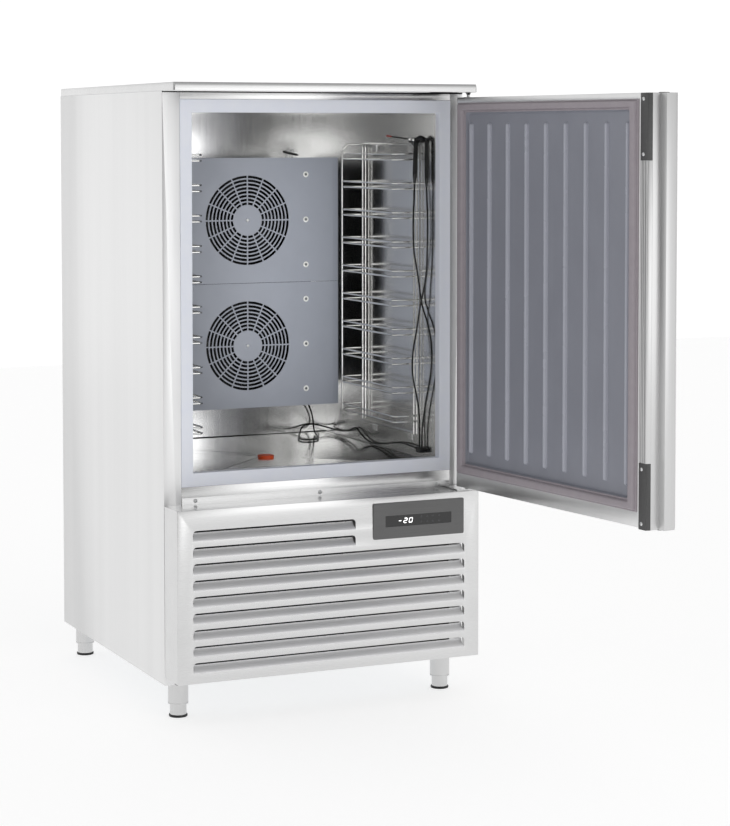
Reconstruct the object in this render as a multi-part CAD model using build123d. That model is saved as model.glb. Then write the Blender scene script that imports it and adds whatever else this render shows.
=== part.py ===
from build123d import *
import math
import os

# Reach-in blast chiller for ten gastronorm trays: insulated cabinet on four legs, hinged door
# standing open, evaporator fans behind a slotted panel, refrigeration plant in the base.
# Millimetres, +Z up, the door at -Y. The origin is on the floor, midway between the four legs.

# ---- cabinet ----
width = 800.0
body_depth = 808.0
body_bottom = 85.0
worktop_underside = 1512.0
worktop_thickness = 20.0
worktop_overhang = 80.0
worktop_gap = 3.0              # dark gap between the cabinet and its worktop
shell_sheet = 1.2
flange_left = 45.0             # front flanges of the side panels
flange_right = 35.0
side_rear_return = 18.0
worktop_corner = 6.0
spacer_xs = (-350.0, -167.0, 15.0, 200.0)
spacer_radius = 5.0
spacer_inset_front = 8.0
spacer_inset_rear = 30.0
strip_top_height = 16.0
strip_bottom_height = 42.0
plant_ceiling = 516.0          # underside of the insulated cell

# ---- legs ----
leg_inset_side = 46.0
leg_inset_front = 33.0
leg_inset_rear = 41.0
sleeve_bottom = 32.0
sleeve_radius = 25.0
sleeve_groove_rise = 3.0
sleeve_groove_width = 1.5
sleeve_groove_depth = 0.8
foot_radius = 20.5
foot_slide_clearance = 0.3
foot_pad_radius = 22.0
foot_pad_height = 4.0
foot_pad_edge = 1.0
foot_engaged = 48.0            # length of foot inside its sleeve
leg_plate_size = 64.0
leg_plate_thickness = 3.0

# ---- door opening and cell ----
frame_side = 30.0              # width of the plastic opening frame, seen from the front
frame_bottom = 33.0
frame_top = 32.0
frame_proud = 2.0
frame_reveal = 23.0
frame_edge = 1.5
cell_side_step = 1.5           # the cell walls stand this far outside the frame
cell_floor_drop = 15.0
cell_ceiling_step = 2.0
cell_back_wall = 100.0         # insulation behind the cell
liner_sheet = 0.8
floor_fall = 6.0               # fall of the creased floor to the drain
drain_x_offset = -8.0          # from the middle of the opening
drain_from_front = 326.0
drain_well = 60.0

# ---- drain ----
drain_bore_radius = 9.5
drain_pipe_radius = 11.0
drain_flange_radius = 18.0
drain_flange_thickness = 3.0
drain_tail = 25.0              # length of pipe below the base
drain_tail_radius = 12.5       # wider end for the hose
drain_tail_length = 24.0
plug_radius = 21.0
plug_height = 5.5
plug_stem = 14.0
plug_clearance = 0.3
plug_edge = 2.0

# ---- evaporator ----
evaporator_space = 240.0       # fan panels' face to the cell's back wall
panel_sheet = 2.0
panel_half_width = 263.0
panel_edge = 15.0              # bent side edge of the fan panels
panel_edge_set_back = 4.0
panel_bottom = 686.0
panel_top_gap = 115.5          # below the cell's ceiling
panel_seam = 0.8
fan_middle_shift = 0.625       # fans stand this far outside the middle of their panels
grille_first_radius = 44.1
grille_ring_pitch = 10.07
grille_rings = 8
grille_slot = 6.3
grille_spokes = 16
grille_spoke_width = 3.6
fan_blade_radius = 108.0
fan_blade_count = 7
fan_blade_twist = 35.0
fan_blade_thickness = 2.2
fan_behind_panel = 12.0
fan_shaft_in_motor = 33.0
fan_bore_in_motor = 38.0
fan_hub_radius = 32.0
fan_blade_depth = 24.0
fan_shaft_radius = 4.0
running_clearance = 0.05
motor_radius = 44.0
motor_length = 55.0
motor_edge = 5.0
motor_behind_fan = 6.0
motor_bar_thickness = 4.0
motor_bar_height = 30.0
rail_offset = 167.0            # panel screws and the rails behind them
rail_width = 30.0
rail_depth = 105.0
rail_sheet = 1.5
screw_row_pitch = 120.0
coil_depth = 110.0
coil_half_width = 200.0
coil_bend_rows = 9
coil_bend = 12.0
coil_end_inset = 14.0          # panels' ends to the ends of the rails and the coil
coil_end_zone = 24.0           # return bends beside the finned block
coil_grooves = 22
coil_groove_width = 6.0
coil_groove_depth = 6.0
coil_plate = 1.5
coil_bar_inset = 60.0
coil_bar_height = 24.0
coil_bar_setback = 20.0
panel_screw_radius = 7.0
panel_screw_height = 3.5
grille_screw_radius = 4.5
grille_screw_height = 2.5
clip_offset = 130.0            # air sensor's clip, from the middle of the panels
clip_width = 30.0
clip_height = 22.0
clip_shelf = 24.0
clip_sheet = 2.0
sensor_radius = 8.0
sensor_length = 12.0

# ---- tray racks ----
rack_wire = 5.0
rack_runner_offset = 260.0     # from the middle of the opening
rack_wall_gap = 4.5             # outer frame wire's middle to the cell wall
rack_frame_step = 8.5
rack_inset_front = 116.0       # behind the cabinet's front plane
rack_length = 324.0
rack_first_level = 688.0
rack_levels = 10
rack_pair_gap = 14.5
rack_ceiling_gap = 79.0
rack_top_margin = 25.5         # top runner below the frames' tops
rack_frame_bottom = 640.0
rack_bend = 9.0
rack_weld_gap = 0.1            # the spot-welded wires lie this close to each other
stop_loop_step = 2.0            # from the runners' inner faces and the frames' tops
stop_loop_bottom = 657.0
stop_loop_bend = 16.0
hook_sheet = 1.5
hook_width = 26.0
hook_lip = 6.0
hook_plate_height = 18.0
hook_inset_y = 54.0
seat_gap = 0.3

# ---- lower cover ----
cover_depth = 92.0
cover_bottom = 105.0
cover_top = 520.0
cover_side_gap = 4.5
cover_upstand = 16.0
cover_bottom_return = 22.0
louvre_count = 9
louvre_short_count = 2
louvre_side_inset = 40.0
louvre_short_gap = 46.5        # from the bezel's left edge
louvre_first_drop = 48.8       # below the cover's top
louvre_pitch = 39.54
louvre_height = 25.0
louvre_mouth = 6.0
louvre_set_back = 8.0
louvre_corner = 9.0
cover_screw_insets = (35.0, 37.0)
cover_screw_shift = 2.0        # of the middle screw
cover_screw_drop = 8.0

# ---- controls ----
bezel_side_inset = 43.0
bezel_width = 248.0
bezel_top_drop = 14.5
bezel_height = 89.0
bezel_proud = 3.0
bezel_corner = 4.0
window_inset_x = 33.0
window_width = 180.0
window_rise = 29.5
window_height = 27.0
window_sunk = 0.4
module_depth = 40.0
module_margin = 12.0

# ---- door ----
door_open_angle = 97.3
hinge_axis_inset = 13.0        # from the side panel's outer face
hinge_axis_from_front = 57.5   # in front of the cabinet plane
door_gap = 12.0                # cabinet plane to inner face of the closed door
door_hinge_inset = 30.0        # side panel to the door's inner hinge corner
door_free_overlap = 8.0        # inner free edge past the opening frame's edge
door_thickness = 64.0
door_skin_hinge_lap = 28.0
door_skin_step = 33.0
door_free_lap = 50.0
door_bottom_gap = 13.0         # above the cover
door_top_gap = 10.0            # below the cabinet's top
door_sheet = 1.2
gasket_side_inset = 7.0
gasket_free_inset = 5.0
gasket_top_inset = 13.5
gasket_bottom_inset = 34.0
gasket_side = 32.0
gasket_top_width = 23.5
gasket_bottom_width = 27.0
gasket_clearance = 0.3
gasket_base = 3.0
gasket_base_step = 3.0
panel_skin = 2.0
panel_recess = 8.0
rib_count = 9
rib_end_step = 14.5            # first rib's middle to the recess wall
rib_width = 16.0
rib_height = 4.5
rib_end_gap = 26.0
edge_wall = 2.0
edge_cap_width = 25.0
edge_cap_depth = 11.0
edge_grip_width = 29.0
edge_groove_starts = (5.0, 10.5, 17.0)
edge_groove_width = 2.2
edge_groove_depth = 1.6
grip_plug_length = 26.0
end_cap_length = 149.0
end_cap_drop = 3.5
cap_screw_radius = 4.5
cap_screw_inset = 13.5

# ---- hinges ----
hinge_pin_radius = 4.0
hinge_pin_length = 26.0
hinge_flare_radius = 8.0
hinge_flare_height = 6.0
hinge_plate = 3.0
hinge_plate_width = 50.0
hinge_plate_past_pin = 18.5    # the plates reach this far in front of the pins
hinge_plate_inset = 2.0        # from the side panel's outer face and the cabinet's front plane
bush_radius = 9.0
bush_length = 22.0
bush_flange = 1.5
bush_flange_radius = 12.0

# ---- refrigeration plant ----
tray_sheet = 1.5
tray_flange = 20.0
tray_corner_relief = 40.0
compressor_radius = 95.0
compressor_height = 215.0
compressor_from_side = 180.0
compressor_from_back = 228.0
mount_height = 26.0
mount_radius = 14.0
mount_spacing_x = 190.0
mount_spacing_y = 130.0
condenser_from_side = 60.0
condenser_width = 420.0
condenser_height = 380.0
condenser_depth = 66.0
condenser_inset = 18.0         # behind the cabinet's front plane
shroud_sheet = 1.5
shroud_depth = 30.0
condenser_fan_radius = 145.0
condenser_fan_clearance = 8.0
condenser_fan_count = 5
condenser_fan_in_shroud = 18.0
condenser_hub_radius = 36.0
condenser_fan_depth = 30.0
condenser_motor_gap = 20.0
condenser_motor_length = 70.0
condenser_shaft_in_motor = 40.0
condenser_motor_bore = 50.0
motor_post_width = 40.0
motor_post_sheet = 6.0
pipe_radius = 5.0
pipe_low = 130.0               # height of the line from the condenser to the drier
pipe_turn_out = 40.0           # how far that line stands off the condenser's side
chase_clearance = 10.3         # room round the risers in the foam
drier_radius = 18.0
drier_length = 120.0
drier_inboard = 20.0           # the drier's middle inside the condenser's right side
drier_from_back = 148.0
drier_low = 190.0
liquid_from_wall = 84.5         # the risers' middles from the cell's right wall
suction_from_wall = 52.5
liquid_port_drop = 213.0       # the ports below the cell's ceiling
suction_port_drop = 283.0
riser_behind_cell = 52.0
box_from_side = 20.0
box_width = 140.0
box_from_back = 28.0
box_depth = 230.0
box_height = 210.0
box_corner = 4.0

# ---- mains gland and back vents ----
gland_x = -300.0
gland_z = 150.0
gland_bore = 5.0
gland_radius = 11.0
gland_length = 14.0
vent_rows = 12
vent_columns = 3
vent_length = 150.0
vent_height = 6.0
vent_pitch_x = 190.0
vent_pitch_z = 24.0
vent_first_z = 210.0

# ---- core probe ----
lead_diameter = 4.5
probe_before_rack = 12.0       # the probe's middle in front of the runners' front legs
needle_radius = 1.8
needle_length = 88.0
needle_rise = 11.7
ferrule_start_share = 0.70
needle_point = 6.0
ferrule_radius = 4.2
sleeve_fat = 6.0
boot_straight_share = 0.78
boot_wall = 0.8
arch_radius = 5.0
splice_width = 13.0
splice_length = 28.0
splice_height = 14.0
splice_end_x = 333.0
splice_edge = 2.0
handle_height = 13.0
probe_gland_radius = 8.0
cord_seat = 0.5                # a cord's end stands this far from the piece that holds it

# ---- places worked out from the sizes above ----
half_width = width / 2
leg_span_y = body_depth - leg_inset_front - leg_inset_rear
front_y = -(leg_span_y / 2 + leg_inset_front)
back_y = leg_span_y / 2 + leg_inset_rear
leg_x = half_width - leg_inset_side
leg_y = leg_span_y / 2
inner_x = half_width - shell_sheet
inner_front = front_y + shell_sheet
inner_back = back_y - shell_sheet
worktop_top = worktop_underside + worktop_thickness
body_top = worktop_underside - worktop_gap
middle_x = (flange_left - flange_right) / 2
frame_left = -half_width + flange_left
frame_right = half_width - flange_right
frame_low = cover_top + strip_bottom_height
frame_high = body_top - strip_top_height
opening_left = frame_left + frame_side
opening_right = frame_right - frame_side
opening_low = frame_low + frame_bottom
opening_high = frame_high - frame_top
frame_front = front_y - frame_proud
frame_back = frame_front + frame_reveal
cell_left = opening_left - cell_side_step
cell_right = opening_right + cell_side_step
cell_floor = opening_low - cell_floor_drop
cell_ceiling = opening_high + cell_ceiling_step
cell_back = back_y - cell_back_wall
drain_x = middle_x + drain_x_offset
drain_y = front_y + drain_from_front
rack_outer_offset = cell_right - middle_x - rack_wall_gap
rack_inner_offset = rack_outer_offset - rack_frame_step
rack_front_y = front_y + rack_inset_front
rack_frame_top = cell_ceiling - rack_ceiling_gap
rack_level_pitch = (rack_frame_top - rack_top_margin - rack_first_level) / (rack_levels - 1)
stop_loop_offset = rack_runner_offset + stop_loop_step
stop_loop_top = rack_frame_top - stop_loop_step
well_floor = cell_floor - floor_fall
panel_front_y = cell_back - evaporator_space
panel_back_y = panel_front_y + panel_sheet
panel_top = cell_ceiling - panel_top_gap
evap_hub_y = panel_back_y + fan_behind_panel
evap_motor_y = evap_hub_y + fan_blade_depth + motor_behind_fan
panel_middle = (panel_bottom + panel_top) / 2
fan_rise = (panel_top - panel_bottom) / 4 + fan_middle_shift
fan_heights = (panel_middle + fan_rise, panel_middle - fan_rise)
rail_back_y = panel_back_y + rail_depth
coil_back_y = rail_back_y + coil_depth
cover_front = front_y - cover_depth
louvre_half_width = half_width - louvre_side_inset
louvre_first_top = cover_top - louvre_first_drop
cover_screw_xs = (frame_left + cover_screw_insets[0], middle_x + cover_screw_shift,
                  frame_right - cover_screw_insets[1])
cover_inside = cover_front + shell_sheet
bezel_x = half_width - bezel_side_inset - bezel_width
bezel_bottom = cover_top - bezel_top_drop - bezel_height
louvre_short_end = bezel_x - louvre_short_gap
window_left = bezel_x + window_inset_x
window_low = bezel_bottom + window_rise
door_plane = front_y - door_gap
door_corner_x = half_width - door_hinge_inset
door_inner_width = door_corner_x - frame_left - door_free_overlap
door_bottom = cover_top + door_bottom_gap
door_top = body_top - door_top_gap
hinge_axis_x = half_width - hinge_axis_inset
hinge_axis_y = front_y - hinge_axis_from_front
tray_top = body_bottom + tray_sheet
plate_back = front_y - hinge_plate_inset
compressor_x = half_width - compressor_from_side
compressor_y = back_y - compressor_from_back
condenser_left = -half_width + condenser_from_side
drier_x = condenser_left + condenser_width - drier_inboard
drier_y = back_y - drier_from_back
liquid_x = cell_right - liquid_from_wall
suction_x = cell_right - suction_from_wall
riser_y = cell_back + riser_behind_cell
pipe_ports = ((liquid_x, cell_ceiling - liquid_port_drop), (suction_x, cell_ceiling - suction_port_drop))


# ---- small helpers ----
def block(x, y, z):
    """A box between two limits along each axis."""
    place = Pos((x[0] + x[1]) / 2, (y[0] + y[1]) / 2, (z[0] + z[1]) / 2)
    return place * Box(x[1] - x[0], y[1] - y[0], z[1] - z[0])


def rod(start, end, radius):
    """A round bar from one point to another."""
    run = Vector(*end) - Vector(*start)
    return extrude(Plane(origin=start, z_dir=run) * Circle(radius), amount=run.length)


def cone_between(start, end, start_radius, end_radius):
    run = Vector(*end) - Vector(*start)
    place = Plane(origin=start, z_dir=run)
    ends = (Align.CENTER, Align.CENTER, Align.MIN)
    return place * Cone(start_radius, end_radius, run.length, align=ends)


def tube_along(path, radius):
    """A round wire that follows a path."""
    return sweep(Plane(origin=path @ 0, z_dir=path % 0) * Circle(radius), path=path)


def bent_wire(points, radius, bend):
    return tube_along(FilletPolyline(*points, radius=bend), radius)


def slab(points, low, high):
    """An upright prism over an outline in the XY plane."""
    face = make_face(Polyline(*points, close=True))
    return extrude(Pos(0, 0, low) * face, amount=high - low)


def cross_bar(points, x_start, x_end):
    """A prism along X over an outline given as (y, z)."""
    face = make_face(Polyline(*points, close=True))
    return extrude(Plane(origin=(x_start, 0, 0), x_dir=(0, 1, 0), z_dir=(1, 0, 0)) * face,
                   amount=x_end - x_start)


def facing_front(y, sketch):
    """A sketch drawn as (x, z), laid on the plane at y and facing the door side."""
    return Plane(origin=(0, y, 0), x_dir=(1, 0, 0), z_dir=(0, -1, 0)) * sketch


def mirror_cell(shape):
    """The same piece on the other wall of the cell."""
    return mirror(shape, about=Plane(origin=(middle_x, 0, 0), z_dir=(1, 0, 0)))


parts = {}


# ---- cabinet shell ----
def side_panel(side, flange):
    """Sheet side with a front flange beside the door frame and a short rear return."""
    outer = side * half_width
    inner = side * inner_x
    flange_edge = side * (half_width - flange)
    return_edge = side * (half_width - side_rear_return)
    low = body_bottom
    high = worktop_underside
    wall = block(sorted((outer, inner)), (front_y, back_y), (low, high))
    front = block(sorted((outer, flange_edge)), (front_y, inner_front), (low, body_top))
    rear = block(sorted((inner, return_edge)), (inner_back - shell_sheet, inner_back),
                 (tray_top, plant_ceiling))
    return wall + front + rear


def back_panel():
    panel = block((-inner_x, inner_x), (inner_back, back_y), (body_bottom, worktop_underside))
    first_x = -vent_pitch_x * (vent_columns - 1) / 2
    slots = []
    for column in range(vent_columns):
        for row in range(vent_rows):
            x = first_x + column * vent_pitch_x
            z = vent_first_z + row * vent_pitch_z
            slots.append(Pos(x, z) * SlotOverall(vent_length, vent_height))
    cut = extrude(facing_front(back_y + 1, Sketch() + slots), amount=shell_sheet + 2)
    gland = rod((gland_x, inner_back - 1, gland_z), (gland_x, back_y + 1, gland_z), gland_bore + 2)
    return panel - cut - gland


def worktop_shell():
    outer = block((-half_width, half_width), (front_y - worktop_overhang, back_y),
                  (worktop_underside, worktop_top))
    inner = block((-inner_x, inner_x), (front_y - worktop_overhang + shell_sheet, inner_back),
                  (worktop_underside - 1, worktop_top - shell_sheet))
    outer = fillet(outer.edges().filter_by(Axis.Z), worktop_corner)
    inner = fillet(inner.edges().filter_by(Axis.Z), worktop_corner - shell_sheet)
    return outer - inner


def hinge_plate_zone(low, high):
    """The footprint of a hinge plate under the pin's axis."""
    right = half_width - hinge_plate_inset
    return block((right - hinge_plate_width, right), (hinge_axis_y - hinge_plate_past_pin, plate_back),
                 (low, high))


def worktop_core():
    core = block((-inner_x, inner_x), (front_y - worktop_overhang + shell_sheet, inner_back),
                 (worktop_underside, worktop_top - shell_sheet))
    core = fillet(core.edges().filter_by(Axis.Z), worktop_corner - shell_sheet)
    return core - hinge_plate_zone(worktop_underside - 1, worktop_underside + hinge_plate)


def worktop_spacers():
    """Round spacers that carry the worktop clear of the cabinet."""
    solids = []
    for x in spacer_xs:
        for y in (front_y + spacer_inset_front, back_y - spacer_inset_rear):
            solids.append(rod((x, y, body_top), (x, y, worktop_underside), spacer_radius))
    return solids


def front_strips():
    top = block((frame_left, frame_right), (front_y, inner_front), (frame_high, body_top))
    bottom = block((frame_left, frame_right), (front_y, inner_front), (plant_ceiling, frame_low))
    return [top, bottom]


def opening_frame():
    outer = block((frame_left, frame_right), (frame_front, frame_back), (frame_low, frame_high))
    inner = block((opening_left, opening_right), (frame_front - 1, frame_back + 1),
                  (opening_low, opening_high))
    frame = outer - inner
    rim = frame.faces().sort_by(Axis.Y)[0].edges()
    return fillet(rim, frame_edge)


def floor_form(drop, grow, top):
    """The creased floor: four flat facets falling to the square drain well."""
    left = cell_left - grow
    right = cell_right + grow
    back = cell_back + grow
    rim = Pos((left + right) / 2, (frame_back + back) / 2, cell_floor - drop) * Rectangle(
        right - left, back - frame_back)
    well = Pos(drain_x, drain_y, well_floor - drop) * Rectangle(drain_well, drain_well)
    pit = loft(Sketch() + [well, rim])
    return pit + block((left, right), (frame_back, back), (cell_floor - drop, top))


def inner_liner():
    outer = floor_form(liner_sheet, liner_sheet, cell_ceiling + liner_sheet)
    inner = floor_form(0.0, 0.0, cell_ceiling)
    collar = block((frame_left, frame_right), (frame_back, frame_back + liner_sheet),
                   (frame_low, frame_high))
    hole = block((cell_left, cell_right), (frame_back - 1, frame_back + 5), (cell_floor, cell_ceiling))
    tank = outer + (collar - hole) - inner
    drain = rod((drain_x, drain_y, well_floor - 5), (drain_x, drain_y, well_floor + 5), drain_bore_radius)
    pipes = [rod((x, cell_back - 5, z), (x, cell_back + 5, z), pipe_radius + seat_gap) for x, z in pipe_ports]
    return tank - drain - pipes


def insulation():
    foam = block((-inner_x, inner_x), (inner_front, inner_back), (plant_ceiling, body_top))
    ring = block((frame_left, frame_right), (front_y - 1, frame_back + liner_sheet), (frame_low, frame_high))
    cell = floor_form(liner_sheet, liner_sheet, cell_ceiling + liner_sheet)
    drain = rod((drain_x, drain_y, plant_ceiling - 1), (drain_x, drain_y, cell_floor), drain_pipe_radius)
    flange = rod((drain_x, drain_y, well_floor - liner_sheet - drain_flange_thickness),
                 (drain_x, drain_y, cell_floor), drain_flange_radius)
    chases = []
    chase_radius = pipe_radius + chase_clearance
    for x, z in pipe_ports:
        chases.append(rod((x, cell_back, z), (x, riser_y, z), pipe_radius + seat_gap))
        chases.append(rod((x, riser_y, plant_ceiling - 1), (x, riser_y, z + chase_radius), chase_radius))
    return foam - ring - cell - drain - flange - chases


def base_tray():
    plate = block((-inner_x, inner_x), (inner_front, inner_back), (body_bottom, tray_top))
    relief = tray_corner_relief
    rear = block((-inner_x + relief, inner_x - relief), (inner_back - tray_sheet, inner_back),
                 (body_bottom, tray_top + tray_flange))
    sides = [block(sorted((side * inner_x, side * (inner_x - tray_sheet))),
                   (inner_front + relief, inner_back - relief), (body_bottom, tray_top + tray_flange))
             for side in (-1, 1)]
    drain = rod((drain_x, drain_y, body_bottom - 1), (drain_x, drain_y, tray_top + 1),
                drain_pipe_radius + seat_gap)
    return plate + rear + sides - drain


# ---- legs ----
def leg_places():
    return [(side * leg_x, end * leg_y) for end in (-1, 1) for side in (-1, 1)]


def leg_sleeve(x, y):
    """Welded plate and tube in which the foot screws up and down."""
    top = body_bottom - leg_plate_thickness
    plate = Pos(x, y, (top + body_bottom) / 2) * Box(leg_plate_size, leg_plate_size, leg_plate_thickness)
    tube = rod((x, y, sleeve_bottom), (x, y, top), sleeve_radius)
    groove_low = sleeve_bottom + sleeve_groove_rise
    groove_high = groove_low + sleeve_groove_width
    groove = rod((x, y, groove_low), (x, y, groove_high), sleeve_radius + 2)
    neck = rod((x, y, groove_low), (x, y, groove_high), sleeve_radius - sleeve_groove_depth)
    bore = rod((x, y, sleeve_bottom - 1), (x, y, top), foot_radius + foot_slide_clearance)
    return plate + (tube - (groove - neck)) - bore


def foot(x, y):
    shank = rod((x, y, foot_pad_height), (x, y, sleeve_bottom + foot_engaged), foot_radius)
    pad = rod((x, y, 0), (x, y, foot_pad_height), foot_pad_radius)
    pad = fillet(pad.edges().group_by(Axis.Z)[0], foot_pad_edge)
    return shank + pad


# ---- lower cover ----
def louvre_places():
    """Left end, right end and top edge of each louvre."""
    places = []
    for i in range(louvre_count):
        right = louvre_short_end if i < louvre_short_count else louvre_half_width
        places.append((-louvre_half_width, right, louvre_first_top - i * louvre_pitch))
    return places


def louvre_blade(left, right, top):
    """A blade that starts flush at its lower edge and leans back into the cover."""
    low = top - louvre_height
    lip = top - louvre_mouth
    deep = cover_front + louvre_set_back
    blade = cross_bar([(cover_front, low), (cover_inside, low), (deep + shell_sheet, lip), (deep, lip)],
                      left, right)
    cheek_line = [(cover_front, low), (cover_front, top), (deep + shell_sheet, lip), (cover_inside, low)]
    cheeks = [cross_bar(cheek_line, left, left + shell_sheet),
              cross_bar(cheek_line, right - shell_sheet, right)]
    return [blade] + cheeks


def lower_cover():
    top = cover_top - shell_sheet
    side_back = front_y - cover_side_gap
    front = block((-half_width, half_width), (cover_front, cover_inside), (cover_bottom, cover_top))
    ledge = block((-half_width, half_width), (cover_front, front_y), (top, cover_top))
    sides = [block(sorted((side * half_width, side * inner_x)), (cover_front, side_back),
                   (cover_bottom, cover_top)) for side in (-1, 1)]
    foot_return = block((-half_width, half_width), (cover_front, cover_front + cover_bottom_return),
                        (cover_bottom, cover_bottom + shell_sheet))
    upstand = block((frame_left + 1, frame_right - 1), (front_y - shell_sheet, front_y),
                    (top, cover_top + cover_upstand))
    slots = []
    for left, right, louvre_top in louvre_places():
        face = Rectangle(right - left, louvre_height)
        corners = face.vertices().group_by(Axis.Y)[-1]
        face = fillet(corners, louvre_corner)
        slots.append(Pos((left + right) / 2, louvre_top - louvre_height / 2) * face)
    cut = extrude(facing_front(cover_inside + 1, Sketch() + slots), amount=shell_sheet + 2)
    window = block((window_left, window_left + window_width), (cover_front - 1, cover_inside + 1),
                   (window_low, window_low + window_height))
    shell = front + ledge + sides + foot_return + upstand - cut - window
    blades = []
    for place in louvre_places():
        blades += louvre_blade(*place)
    keep = block((-half_width, half_width), (cover_front, front_y), (cover_bottom, cover_top))
    return shell + [piece & keep for piece in blades]


def dome_screw(x, y, z, radius, height):
    """A dome head that stands on a face towards the door side."""
    head = extrude(facing_front(y, Pos(x, z) * Circle(radius)), amount=height)
    return fillet(head.edges().group_by(Axis.Y)[0], height * 0.8)


def control_bezel():
    plate = Pos(bezel_x + bezel_width / 2, bezel_bottom + bezel_height / 2) * RectangleRounded(
        bezel_width, bezel_height, bezel_corner)
    body = extrude(facing_front(cover_front, plate), amount=bezel_proud)
    window = block((window_left, window_left + window_width),
                   (cover_front - bezel_proud - 1, cover_front + 1), (window_low, window_low + window_height))
    return body - window


def display_window():
    return block((window_left, window_left + window_width),
                 (cover_front - bezel_proud + window_sunk, cover_inside),
                 (window_low, window_low + window_height))


def control_module():
    return block((window_left - module_margin, window_left + window_width + module_margin),
                 (cover_inside, cover_inside + module_depth),
                 (window_low - module_margin, window_low + window_height + module_margin))


# ---- cell fittings ----
def fan_panel(low, high, fan_z):
    """Panel with its side edges bent back and a ring grille cut through it."""
    left = middle_x - panel_half_width
    right = middle_x + panel_half_width
    front = panel_front_y
    back = panel_back_y
    set_back = panel_edge_set_back
    outline = [(left, front + set_back), (left + panel_edge, front), (right - panel_edge, front),
               (right, front + set_back), (right, back + set_back), (right - panel_edge, back),
               (left + panel_edge, back), (left, back + set_back)]
    sheet = slab(outline, low, high)
    rings = Sketch()
    for i in range(grille_rings):
        radius = grille_first_radius + i * grille_ring_pitch
        rings += Circle(radius + grille_slot / 2) - Circle(radius - grille_slot / 2)
    reach = 2 * (grille_first_radius + grille_rings * grille_ring_pitch)
    spokes = [Rot(0, 0, 360 / grille_spokes * k) * Rectangle(grille_spoke_width, reach)
              for k in range(grille_spokes // 2)]
    slots = Pos(middle_x, fan_z) * (rings - spokes)
    return sheet - extrude(facing_front(back + 1, slots), amount=panel_sheet + 2)


def fan_wheel(x, hub_y, z, radius, hub_radius, depth, count, shaft_end):
    """Axial fan: hub, twisted blades and the shaft that turns with them."""
    hub = rod((x, hub_y, z), (x, hub_y + depth, z), hub_radius)
    blade_root = hub_radius * 0.9
    blades = []
    for k in range(count):
        twist = Rot(fan_blade_twist, 0, 0) * Box(radius - blade_root, fan_blade_thickness, depth * 1.15)
        piece = Pos(blade_root + (radius - blade_root) / 2, 0, 0) * twist
        turned = Rot(0, 360 / count * k, 0) * piece
        blades.append(Pos(x, hub_y + depth / 2, z) * turned)
    rim = rod((x, hub_y - 2, z), (x, hub_y + depth + 2, z), radius)
    wheel = (Part() + blades) & rim
    shaft = rod((x, hub_y + depth / 2, z), (x, shaft_end, z), fan_shaft_radius)
    return hub + wheel + shaft


def evaporator_fan(fan_z):
    return fan_wheel(middle_x, evap_hub_y, fan_z, fan_blade_radius, fan_hub_radius, fan_blade_depth,
                     fan_blade_count, evap_motor_y + fan_shaft_in_motor)


def evaporator_motor(fan_z):
    """Round motor on a flat bar that spans the two rails."""
    body = rod((middle_x, evap_motor_y, fan_z), (middle_x, evap_motor_y + motor_length, fan_z), motor_radius)
    body = fillet(body.edges().filter_by(GeomType.CIRCLE), motor_edge)
    reach = rail_offset - rail_width / 2
    bar_y = evap_motor_y + motor_length
    bar = block((middle_x - reach, middle_x + reach),
                (bar_y - motor_bar_thickness / 2, bar_y + motor_bar_thickness / 2),
                (fan_z - motor_bar_height / 2, fan_z + motor_bar_height / 2))
    bore = rod((middle_x, evap_motor_y - 1, fan_z), (middle_x, evap_motor_y + fan_bore_in_motor, fan_z),
               fan_shaft_radius + running_clearance)
    return body + bar - bore


def evaporator_frame():
    """Two channel rails behind the fan panels and the bars that hold the coil off the back wall."""
    low = panel_bottom + coil_end_inset
    high = panel_top - coil_end_inset
    solids = []
    for side in (-1, 1):
        inner = middle_x + side * (rail_offset - rail_width / 2)
        outer = middle_x + side * (rail_offset + rail_width / 2)
        web = inner + side * rail_sheet
        channel = block(sorted((inner, web)), (panel_back_y, rail_back_y), (low, high))
        channel += block(sorted((inner, outer)), (panel_back_y, panel_back_y + rail_sheet), (low, high))
        channel += block(sorted((inner, outer)), (rail_back_y - rail_sheet, rail_back_y), (low, high))
        solids.append(channel)
    reach = coil_half_width - coil_bar_setback
    for z in (low + coil_bar_inset, high - coil_bar_inset):
        solids.append(block((middle_x - reach, middle_x + reach), (coil_back_y, cell_back),
                            (z - coil_bar_height / 2, z + coil_bar_height / 2)))
    return solids


def evaporator_coil():
    """Finned block with end plates and the return bends of its tubes."""
    low = panel_bottom + coil_end_inset
    high = panel_top - coil_end_inset
    half = coil_half_width
    block_half = half - coil_end_zone
    groove_half = coil_groove_width / 2
    fins = block((middle_x - block_half, middle_x + block_half), (rail_back_y, coil_back_y), (low, high))
    grooves = []
    for i in range(1, coil_grooves):
        x = middle_x - block_half + i * 2 * block_half / coil_grooves
        grooves.append(block((x - groove_half, x + groove_half),
                             (rail_back_y - 1, rail_back_y + coil_groove_depth), (low - 1, high + 1)))
    coil = fins - grooves
    plates = [block(sorted((middle_x + side * block_half, middle_x + side * (block_half + coil_plate))),
                    (rail_back_y, coil_back_y), (low, high)) for side in (-1, 1)]
    coil += plates
    pitch = (high - low) / coil_bend_rows
    bends = []
    for side in (-1, 1):
        for row in range(coil_bend_rows):
            z = low + (row + 0.5) * pitch
            for y in (rail_back_y + coil_depth * 0.25, rail_back_y + coil_depth * 0.75):
                start = middle_x + side * block_half
                end = middle_x + side * (half - pipe_radius)
                points = [(start, y, z - pitch * 0.25), (end, y, z - pitch * 0.25),
                          (end, y, z + pitch * 0.25), (start, y, z + pitch * 0.25)]
                bends.append(bent_wire(points, pipe_radius, coil_bend))
    return coil + bends


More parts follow.
